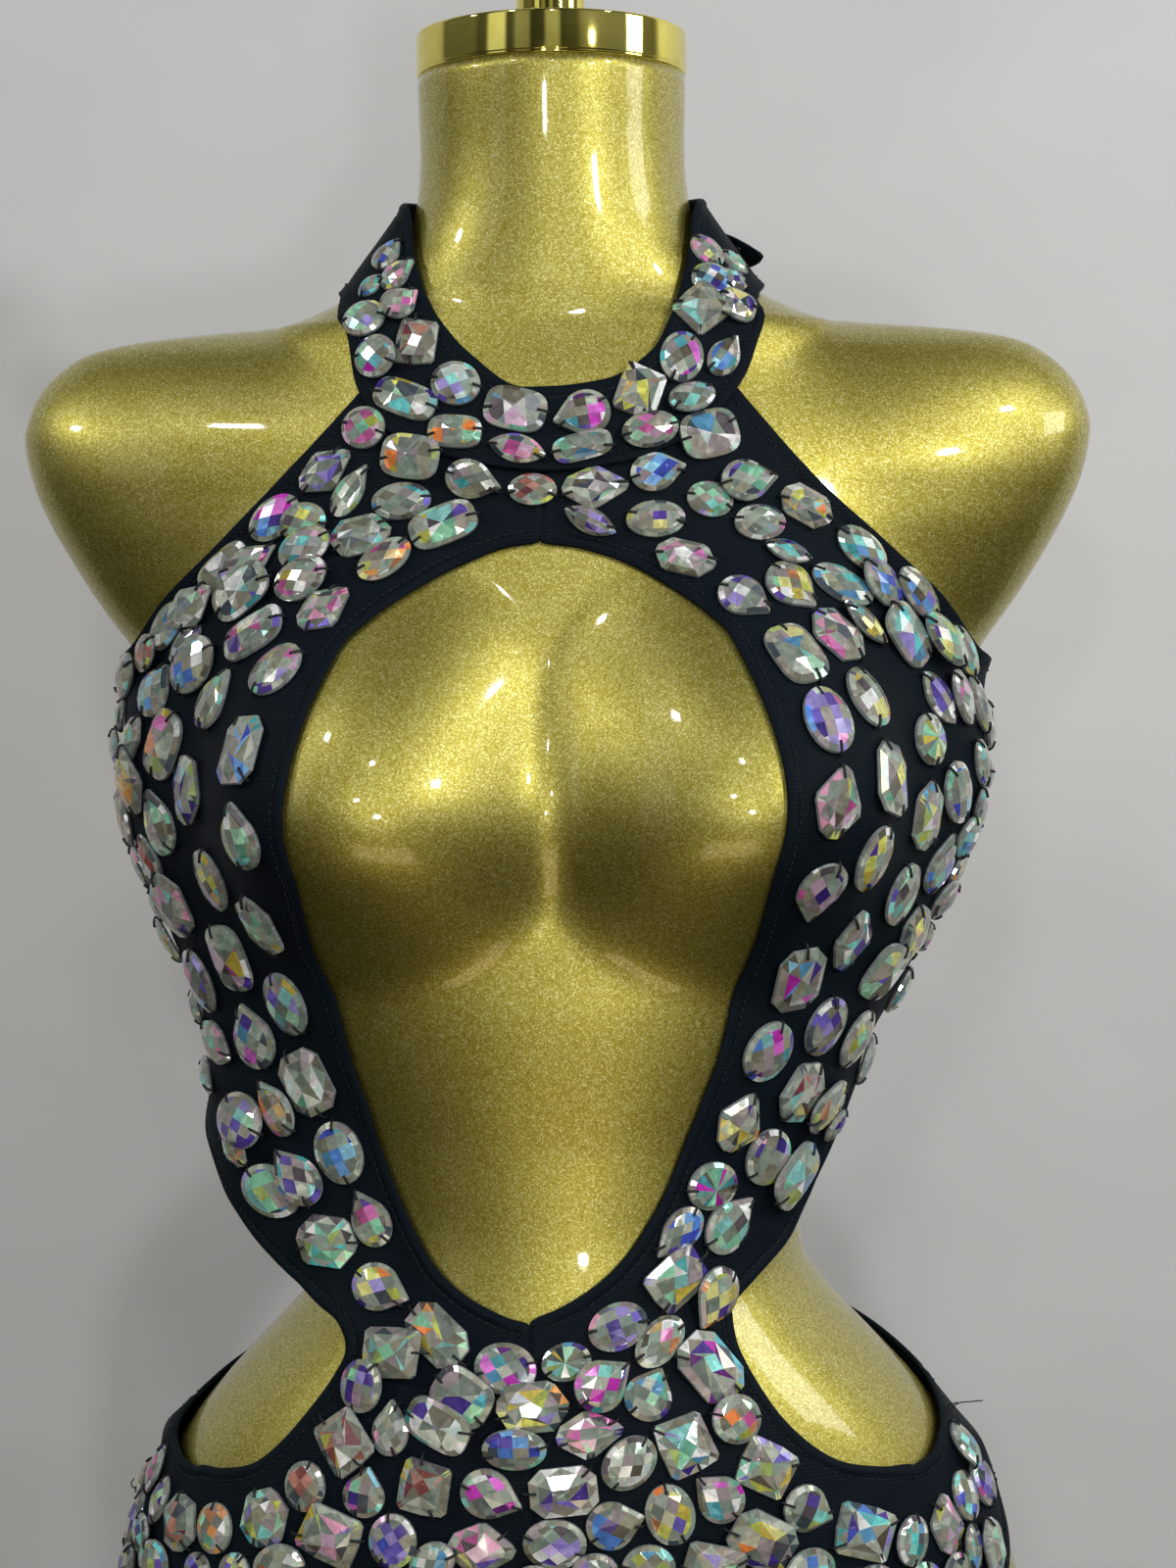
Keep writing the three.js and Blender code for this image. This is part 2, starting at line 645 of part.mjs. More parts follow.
function formBody() {
  const angles = [];
  for (let j = 0; j < FORM_COLUMNS; j++) {
    const u = (j / FORM_COLUMNS) * 2 * Math.PI;
    angles.push(((u + (FORM_CROWD * Math.sin(2 * u)) / 2) * 180) / Math.PI);
  }
  const LOW = 150; // above this height the rows are level
  const rows = [];
  // rim, rounded
  for (const t of [90, 62, 36, 14])
    rows.push((deg) => {
      const z = rimHeight(deg),
        r = formRadius(deg, z + BASE_ROUND);
      return at(
        deg,
        r - BASE_ROUND * (1 - Math.cos(rad(t))),
        z + BASE_ROUND * (1 - Math.sin(rad(t))),
      );
    });
  for (let k = 0; k < 7; k++)
    rows.push((deg) => {
      const z0 = rimHeight(deg) + BASE_ROUND,
        z = mix(z0, LOW, k / 7);
      return at(deg, formRadius(deg, z), z);
    });
  const levels = [LOW];
  for (const [to, step] of [[400, 16.7], [505, 11.5], [566, 7.6], [630, 16], [642, 4], [658, 2.3], [680, 7.3], [NECK_TOP, 15.05]]) {
    const from = levels[levels.length - 1],
      n = Math.max(1, Math.round((to - from) / step));
    for (let k = 1; k <= n; k++) levels.push(mix(from, to, k / n));
  }
  for (const z of levels) rows.push((deg) => at(deg, formRadius(deg, z), z));

  const points = [],
    faces = [],
    n = FORM_COLUMNS;
  const ring = (i, j) => i * n + (j % n);
  for (const row of rows) for (const deg of angles) points.push(row(deg));
  for (let i = 0; i < rows.length - 1; i++)
    for (let j = 0; j < n; j++)
      faces.push(
        [ring(i, j), ring(i, j + 1), ring(i + 1, j + 1)],
        [ring(i, j), ring(i + 1, j + 1), ring(i + 1, j)],
      );
  // underside: lines from each front point of the rim to the back point across from it
  const quarter = n / 4,
    along = 12,
    under = [];
  for (let j = -quarter; j <= quarter; j++) {
    const f = (j + n) % n,
      k = (2 * quarter - j + n) % n,
      line = [f];
    if (f !== k) {
      for (let i = 1; i < along; i++) {
        const x = mix(points[f][0], points[k][0], i / along),
          y = mix(points[f][1], points[k][1], i / along);
        line.push(points.push([x, y, channel(x, y)]) - 1);
      }
      line.push(k);
    }
    under.push(line);
  }
  for (let j = 0; j < under.length - 1; j++)
    for (let i = 0; i < along; i++) {
      const p = under[j],
        q = under[j + 1];
      const cell = [p[Math.min(i, p.length - 1)], p[Math.min(i + 1, p.length - 1)], q[Math.min(i + 1, q.length - 1)], q[Math.min(i, q.length - 1)]];
      if (p.length > 1) faces.push([cell[0], cell[1], q.length > 1 ? cell[2] : q[0]]);
      if (q.length > 1) faces.push([p.length > 1 ? cell[0] : p[0], cell[2], cell[3]]);
    }
  // flat top of the neck
  const topRow = (rows.length - 1) * n,
    top = points.push([0, 0, NECK_TOP]) - 1;
  for (let j = 0; j < n; j++) faces.push([topRow + j, topRow + ((j + 1) % n), top]);
  return meshOf("form_body", points, faces, GOLD, 0.6, 0.35);
}

// A turned piece from a short outline of [radius, height].
function turned(name, outline, around) {
  const points = [],
    faces = [];
  for (const [r, z] of outline)
    for (let j = 0; j < around; j++) {
      const a = (j / around) * 360;
      points.push(at(a, r, z));
    }
  for (let i = 0; i < outline.length - 1; i++)
    for (let j = 0; j < around; j++) {
      const a = i * around + j,
        b = i * around + ((j + 1) % around);
      faces.push([a, b, b + around], [a, b + around, a + around]);
    }
  const low = points.push([0, 0, outline[0][1]]) - 1,
    high = points.push([0, 0, outline[outline.length - 1][1]]) - 1,
    end = (outline.length - 1) * around;
  for (let j = 0; j < around; j++) {
    faces.push([(j + 1) % around, j, low]);
    faces.push([end + j, end + ((j + 1) % around), high]);
  }
  return meshOf(name, points, faces, POLISHED, 1, 0.15);
}

const bodysuit = new THREE.Group();
bodysuit.add(
  formBody(),
  turned(
    "neck_cap",
    [
      [CAP_RADIUS - CAP_BEVEL / 2, CAP_BASE],
      [CAP_RADIUS, CAP_BASE + CAP_BEVEL / 2],
      [CAP_RADIUS, CAP_BASE + CAP_HEIGHT - CAP_BEVEL],
      [CAP_RADIUS - CAP_BEVEL, CAP_BASE + CAP_HEIGHT],
    ],
    72,
  ),
  turned(
    "neck_post",
    [
      [POST_RADIUS, CAP_BASE + CAP_HEIGHT + SEAM],
      [POST_RADIUS, CAP_BASE + CAP_HEIGHT + POST_HEIGHT - POST_ROUND],
      [POST_RADIUS - POST_ROUND * 0.3, CAP_BASE + CAP_HEIGHT + POST_HEIGHT - POST_ROUND * 0.3],
      [POST_RADIUS - POST_ROUND, CAP_BASE + CAP_HEIGHT + POST_HEIGHT],
    ],
    40,
  ),
  frontHalf("front_left", FRONT_LEFT, 13, 4),
  frontHalf("front_right", FRONT_RIGHT, 13, 4),
  backPiece("back_band", BACK_BAND, 26, 11),
  backPiece("back_lower", BACK_LOWER, 28, 10),
  gusset(),
  collar(),
  neckTab(),
);
export default bodysuit;
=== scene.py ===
"""Looks of the stage bodysuit on its limbless dress form.

Sizes are millimetres in the tables and functions, metres in the meshes. +Z is up and the
front faces -Y. Surfaces are written about the form's upright axis: an angle from the front
(degrees, viewer's left negative) and a height, with the same tables as the solids.
"""
import json
import math

import bpy
import numpy as np
from mathutils import Matrix, Vector
from mathutils.kdtree import KDTree

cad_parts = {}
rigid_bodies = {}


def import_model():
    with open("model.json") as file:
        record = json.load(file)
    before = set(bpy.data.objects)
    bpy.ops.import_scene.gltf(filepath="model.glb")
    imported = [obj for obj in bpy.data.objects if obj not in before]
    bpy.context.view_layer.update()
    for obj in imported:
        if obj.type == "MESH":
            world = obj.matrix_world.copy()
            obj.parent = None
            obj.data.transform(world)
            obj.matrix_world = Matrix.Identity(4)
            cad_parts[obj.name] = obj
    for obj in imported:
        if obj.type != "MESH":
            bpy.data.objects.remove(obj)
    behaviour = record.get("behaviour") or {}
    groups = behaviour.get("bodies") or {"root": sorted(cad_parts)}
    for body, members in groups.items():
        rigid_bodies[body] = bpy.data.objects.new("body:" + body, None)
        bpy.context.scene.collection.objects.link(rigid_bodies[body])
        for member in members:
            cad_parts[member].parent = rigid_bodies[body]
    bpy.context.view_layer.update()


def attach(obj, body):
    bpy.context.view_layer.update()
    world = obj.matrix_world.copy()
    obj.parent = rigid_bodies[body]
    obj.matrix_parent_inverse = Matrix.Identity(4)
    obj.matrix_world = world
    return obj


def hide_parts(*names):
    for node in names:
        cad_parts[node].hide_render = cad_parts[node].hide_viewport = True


for left_over in list(bpy.data.objects):
    bpy.data.objects.remove(left_over)
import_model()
scene = bpy.context.scene
RNG = np.random.default_rng(11)

# ------------------------------------------------------------------ named sizes
CLOTH = 1.2
EASE = 1.2
SEAM = 0.3
LAP = 1.0
SHIFT_Y = 0.22
NECK_TOP = 740.2
NECK_WAIST = 1.1  # the neck is this much slimmer halfway up
CAP_BASE = 740.5
CAP_HEIGHT = 15.5
CAP_RADIUS = 50.6
POST_RADIUS = 12.8
POST_HEIGHT = 44.0
BASE_ROUND = 7.0
CROTCH_HEIGHT = 46.0
CROTCH_HALF = 54.0
CROTCH_FLAT = 0.5
FRONT_RISE = (20.0, 70.0, 40.0)  # from, over, by
BACK_RISE = (20.0, 95.0, 50.0)
BUST = dict(side=66.0, height=474.0, rise=52.0, wide=80.0, up=98.0, down=75.0)
WING_SQUARE = 2.5
WING_BLEND = 14.0
SIDE = 92.0
NONE = float("nan")

# ------------------------------------------------------------------ short tables
TORSO = [
    # height, half width, front, back, square front, square back
    (0, 156, 80, 92, 2.25, 2.15),
    (40, 163, 86, 100, 2.25, 2.15),
    (80, 171, 88, 111, 2.25, 2.15),
    (120, 176, 89, 116, 2.25, 2.15),
    (150, 174.5, 92, 112, 2.25, 2.15),
    (180, 169, 95, 103, 2.2, 2.15),
    (208, 159.5, 97, 92, 2.15, 2.15),
    (229, 148, 97, 83, 2.1, 2.15),
    (249, 133, 95, 75, 2.1, 2.1),
    (268, 115.5, 91, 69, 2.1, 2.1),
    (284, 100.5, 87, 65, 2.1, 2.1),
    (300, 90, 84, 62, 2.1, 2.1),
    (320, 88, 82, 62, 2.1, 2.1),
    (345, 93, 82, 65, 2.15, 2.15),
    (365, 100, 84, 69, 2.2, 2.2),
    (383, 109.5, 86, 73, 2.2, 2.2),
    (402, 121, 87, 77, 2.25, 2.25),
    (420, 131, 87, 80, 2.3, 2.3),
    (440, 139.5, 86, 83, 2.4, 2.3),
    (457, 147, 85, 84, 2.45, 2.35),
    (476, 151, 84, 85, 2.5, 2.35),
    (500, 152, 82, 86, 2.45, 2.35),
    (526, 149, 79, 86, 2.4, 2.35),
    (560, 140, 73, 83, 2.35, 2.3),
    (600, 129, 64, 76, 2.3, 2.3),
    (625, 121, 57, 71, 2.2, 2.2),
    (640, 114, 52, 68, 2.15, 2.15),
    (647, 107, 50, 66, 2.1, 2.1),
    (650, 98, 49.5, 65, 2.05, 2.05),
    (654, 88, 49, 64, 2, 2),
    (660, 76, 48.5, 62, 2, 2),
    (668, 65.5, 48.5, 59, 2, 2),
    (678, 57, 48.5, 56, 2, 2),
    (692, 52, 49, 53, 2, 2),
    (715, 50.5, 49.5, 51, 2, 2),
    (742, 50, 50, 50, 2, 2),
]
WING = [
    # height, half width, half depth
    (470, 120, 20),
    (500, 138, 36),
    (526, 158, 47),
    (545, 172, 52),
    (560, 181.5, 54.5),
    (575, 190, 56),
    (590, 196.5, 56),
    (600, 199, 54.5),
    (608, 200, 52),
    (617, 198, 47.5),
    (627, 192.5, 41),
    (635, 184, 34),
    (640, 175, 28),
    (643.5, 160, 22),
    (646, 138, 17),
    (648.5, 105, 12),
    (651, 60, 8),
]
SLACK = [
    # height, viewer's left, viewer's right
    (200, 0, 0),
    (232, 1.5, 1.5),
    (262, 1.5, 2.5),
    (272, 3, 2),
    (288, 17, 2),
    (302, 27, 5),
    (317, 35, 9),
    (330, 38.5, 12),
    (345, 38.5, 12),
    (365, 31, 8),
    (383, 22.5, 5),
    (402, 15.5, 4.5),
    (420, 13, 3.2),
    (439, 11.5, 3.2),
    (457, 11, 4),
    (476, 10, 6),
    (500, 9.5, 5),
    (526, 4.5, 3.5),
    (545, 1.5, 1.5),
    (575, 0, 0),
    (700, 0, 0),
]
SLACK_ARC = [
    # height, begins, full
    (200, 50, 75),
    (260, 30, 55),
    (300, 38, 72),
    (345, 44, 84),
    (400, 58, 88),
    (526, 62, 88),
    (700, 62, 88),
]
FOLDS = [
    # angle, height, rise, half arc (degrees), half height
    (-91, 233, 4.5, 11, 7),
    (90, 224, 3, 9, 10),
]
FRONT_LEFT = [
    # inner angle, inner height, outer angle, outer height, strap, steps
    (-1.6, 602, -49.5, 631, NONE, 2),
    (-2.2, 577, -58.1, 597.2, NONE, 1),
    (-2.9, 565.2, -63, 581.5, NONE, 1),
    (-12.5, 562.6, -67.2, 568.5, NONE, 2),
    (-26.6, 553.5, -74.2, 549.5, NONE, 2),
    (-36.1, 537.6, -82, 529.5, NONE, 3),
    (-38.2, 527, -SIDE, 520.5, NONE, 3),
    (-38, 489, -SIDE, 484, NONE, 3),
    (-39.2, 451, -SIDE, 448, NONE, 3),
    (-46.9, 411.7, -SIDE, 412, NONE, 2),
    (-46.9, 383, -SIDE, 386, NONE, 2),
    (-45.4, 364, -SIDE, 366, NONE, 1),
    (-44.4, 351, -87, 354.5, NONE, 2),
    (-40.2, 330.5, -77.8, 331, NONE, 2),
    (-30.4, 308, -66, 308, NONE, 1),
    (-21.5, 298, -56.5, 293.5, NONE, 1),
    (-12, 291.6, -49.8, 285.5, NONE, 1),
    (-6.7, 288.9, -47.7, 276, NONE, 2),
    (-6.4, 270, -50.8, 258, NONE, 2),
    (-6, 250, -58.5, 235.5, NONE, 2),
    (-5.5, 232, -70, 226, 243, 3),
    (-4.5, 194, -72, 191, 216, 2),
    (-4, 172, -74, 160, 190, 2),
    (-2.8, 148, -59, 138, NONE, 2),
    (-1.6, 126, -42, 118.5, NONE, 1),
    (-0.8, 112, -28, 107, NONE, 1),
    (0, 100, -17.5, 100.5, NONE, 0),
]
FRONT_RIGHT = [
    (-1.6, 602, 49.5, 629, NONE, 2),
    (-2.2, 577, 57, 595.5, NONE, 1),
    (-2.9, 565.2, 62, 579.5, NONE, 1),
    (8, 562.4, 67, 566, NONE, 2),
    (22, 555.2, 74, 547, NONE, 2),
    (32.5, 538.9, 82, 525.5, NONE, 3),
    (34.5, 529, SIDE, 517.5, NONE, 3),
    (34.6, 490, SIDE, 482, NONE, 3),
    (34.4, 453, SIDE, 448, NONE, 3),
    (38.2, 413, SIDE, 414, NONE, 2),
    (37, 386, SIDE, 388, NONE, 2),
    (34.3, 368.5, SIDE, 371, NONE, 1),
    (31.8, 356, 80, 359, NONE, 2),
    (26.2, 334, 69, 334, NONE, 2),
    (15.6, 310.8, 61.5, 313, NONE, 1),
    (7, 300.5, 50, 300.2, NONE, 1),
    (0.5, 295, 41.3, 290.5, NONE, 1),
    (-6.7, 288.9, 40.3, 280, NONE, 2),
    (-6.4, 270, 43.2, 259.5, NONE, 2),
    (-6, 250, 52.5, 237.6, NONE, 2),
    (-5.5, 232, 66, 227.4, 252, 3),
    (-4.5, 194, 70, 198, 232, 2),
    (-4, 172, 73.5, 172, 213, 2),
    (-2.8, 148, 60, 147, NONE, 2),
    (-1.6, 126, 43, 124, NONE, 1),
    (-0.8, 112, 28.5, 109, NONE, 1),
    (0, 100, 17.5, 100.5, NONE, 0),
]
BACK_BAND = [
    # angle, top height, foot height
    (-SIDE, 520.5, 366),
    (-120, 506, 371),
    (-150, 498, 378),
    (-180, 496, 382),
    (-210, 497, 381),
    (-240, 504, 376),
    (-360 + SIDE, 517.5, 371),
]
BACK_LOWER = [
    # angle, top height, foot height
    (-SIDE, 243, 190),
    (-104, 257, 178),
    (-122, 271, 157),
    (-142, 281, 134),
    (-158, 286, 119),
    (-166, 288, 112),
    (-180, 290, 112),
    (-194, 291, 112),
    (-202, 290, 119),
    (-218, 288, 135),
    (-238, 281, 164),
    (-256, 268, 194),
    (-360 + SIDE, 252, 213),
]
COLLAR = [
    # angle, inner height, outer height
    (-179.7, 701, 669),
    (-150, 700, 668),
    (-120, 698, 665),
    (-90, 694.5, 661),
    (-74, 691, 657),
    (-67, 686, 651),
    (-60, 677, 643),
    (-52, 666, 620.6),
    (-43, 652, 605),
    (-27, 632.5, 595),
    (-8, 619.5, 590.5),
    (0, 619.6, 589.8),
    (18, 622, 592),
    (33, 632, 598.3),
    (43, 648.5, 608),
    (52.5, 665, 622.6),
    (60, 676, 640),
    (67, 685, 653),
    (75, 691, 658),
    (90, 694.5, 662),
    (120, 698, 665),
    (150, 700, 668),
    (179.7, 701, 669),
]
TAB = [
    # angle, middle height, half width, stands off
    (196, 686, 6, 0),
    (170, 685.5, 6, 0),
    (140, 684, 6, 0),
    (118, 681, 6, 0.6),
    (104, 677.5, 6, 3),
    (95, 674.8, 3.4, 7.5),
    (91, 673.4, 0.8, 10.5),
]
GUSSET = [
    # way (0 to 1), half width
    (0, 26.2),
    (0.25, 22),
    (0.5, 21),
    (0.75, 23),
    (1, 28),
]
# The camera: focal length in pixels of the 1200 x 1600 photograph, distance and height (mm),
# azimuth and roll (degrees), and the pixel row and column that it is level with.
CAMERA = dict(f=3000.0, dist=1111.0, z=522.0, az=2.0, roll=0.7, row=676.0, column=571.5)
PHOTO = (1200, 1600)

# Creases in the worn cloth: a soft ridge or trough between two places.
CREASES = [
    # piece, angle, height, to angle, to height, rise, half width (mm)
    ("front_left", -78, 246, -88, 214, 0.9, 3.2),
    ("front_left", -66, 224, -90, 205, -0.7, 4.0),
    ("front_left", -58, 232, -40, 214, 0.5, 4.5),
    ("front_left", -51, 262, -30, 246, -0.5, 4.0),
    ("front_left", -46, 282, -22, 276, 0.6, 3.5),
    ("front_left", -20, 291, -14, 262, -0.4, 4.0),
    ("front_left", -9, 287, -16, 250, 0.5, 3.5),
    ("front_left", -6, 566, -20, 580, 0.5, 3.0),
    ("front_left", -4, 570, -12, 598, -0.4, 3.0),
    ("front_left", -64, 566, -48, 548, 0.5, 4.0),
    ("front_left", -88, 520, -66, 500, 0.7, 5.0),
    ("front_left", -90, 505, -70, 478, -0.6, 5.0),
    ("front_left", -86, 372, -56, 366, 0.6, 5.0),
    ("front_left", -84, 352, -50, 340, 0.7, 5.0),
    ("front_left", -74, 338, -40, 322, -0.6, 4.5),
    ("front_left", -66, 302, -38, 316, 0.5, 4.5),
    ("front_left", -30, 160, -52, 150, 0.6, 4.5),
    ("front_left", -14, 132, -34, 122, -0.5, 4.0),
    ("front_left", -2, 166, -24, 172, 0.4, 4.0),
    ("front_right", 84, 238, 90, 206, 0.9, 3.4),
    ("front_right", 74, 226, 90, 218, -0.8, 3.6),
    ("front_right", 66, 230, 48, 216, 0.5, 4.5),
    ("front_right", 46, 262, 26, 250, -0.5, 4.0),
    ("front_right", 40, 284, 16, 280, 0.6, 3.6),
    ("front_right", 6, 296, 4, 262, 0.4, 3.8),
    ("front_right", -3, 286, 6, 244, -0.4, 3.6),
    ("front_right", 3, 568, 14, 590, 0.5, 3.0),
    ("front_right", 12, 566, 30, 574, -0.4, 3.2),
    ("front_right", 64, 562, 48, 545, 0.5, 4.0),
    ("front_right", 88, 514, 68, 496, 0.7, 5.0),
    ("front_right", 86, 498, 60, 470, -0.5, 5.0),
    ("front_right", 84, 372, 54, 360, 0.6, 4.8),
    ("front_right", 76, 350, 44, 338, -0.5, 4.5),
    ("front_right", 58, 312, 30, 322, 0.5, 4.5),
    ("front_right", 30, 162, 54, 156, 0.6, 4.5),
    ("front_right", 12, 134, 34, 126, -0.5, 4.0),
    ("front_right", 4, 178, 26, 186, 0.4, 4.0),
    ("back_band", -100, 500, -128, 480, 0.7, 5.5),
    ("back_band", -104, 392, -140, 402, -0.6, 5.0),
    ("back_band", -150, 470, -178, 440, 0.5, 6.0),
    ("back_band", -200, 452, -228, 474, -0.5, 5.5),
    ("back_band", -236, 400, -262, 388, 0.7, 5.0),
    ("back_band", -230, 490, -262, 500, 0.5, 5.0),
    ("back_lower", -98, 240, -124, 222, 0.8, 5.0),
    ("back_lower", -104, 206, -136, 196, -0.6, 5.0),
    ("back_lower", -160, 260, -176, 226, 0.5, 6.0),
    ("back_lower", -176, 196, -190, 150, 0.6, 5.0),
    ("back_lower", -214, 226, -250, 236, -0.7, 5.0),
    ("back_lower", -222, 200, -258, 222, 0.7, 5.0),
    ("collar", -60, 664, -36, 622, 0.35, 3.0),
    ("collar", 44, 634, 64, 668, 0.35, 3.0),
    ("collar", -12, 606, 20, 604, -0.3, 3.0),
    ("collar", 118, 684, 160, 690, 0.4, 3.5),
    ("collar", -150, 686, -110, 682, -0.4, 3.5),
]

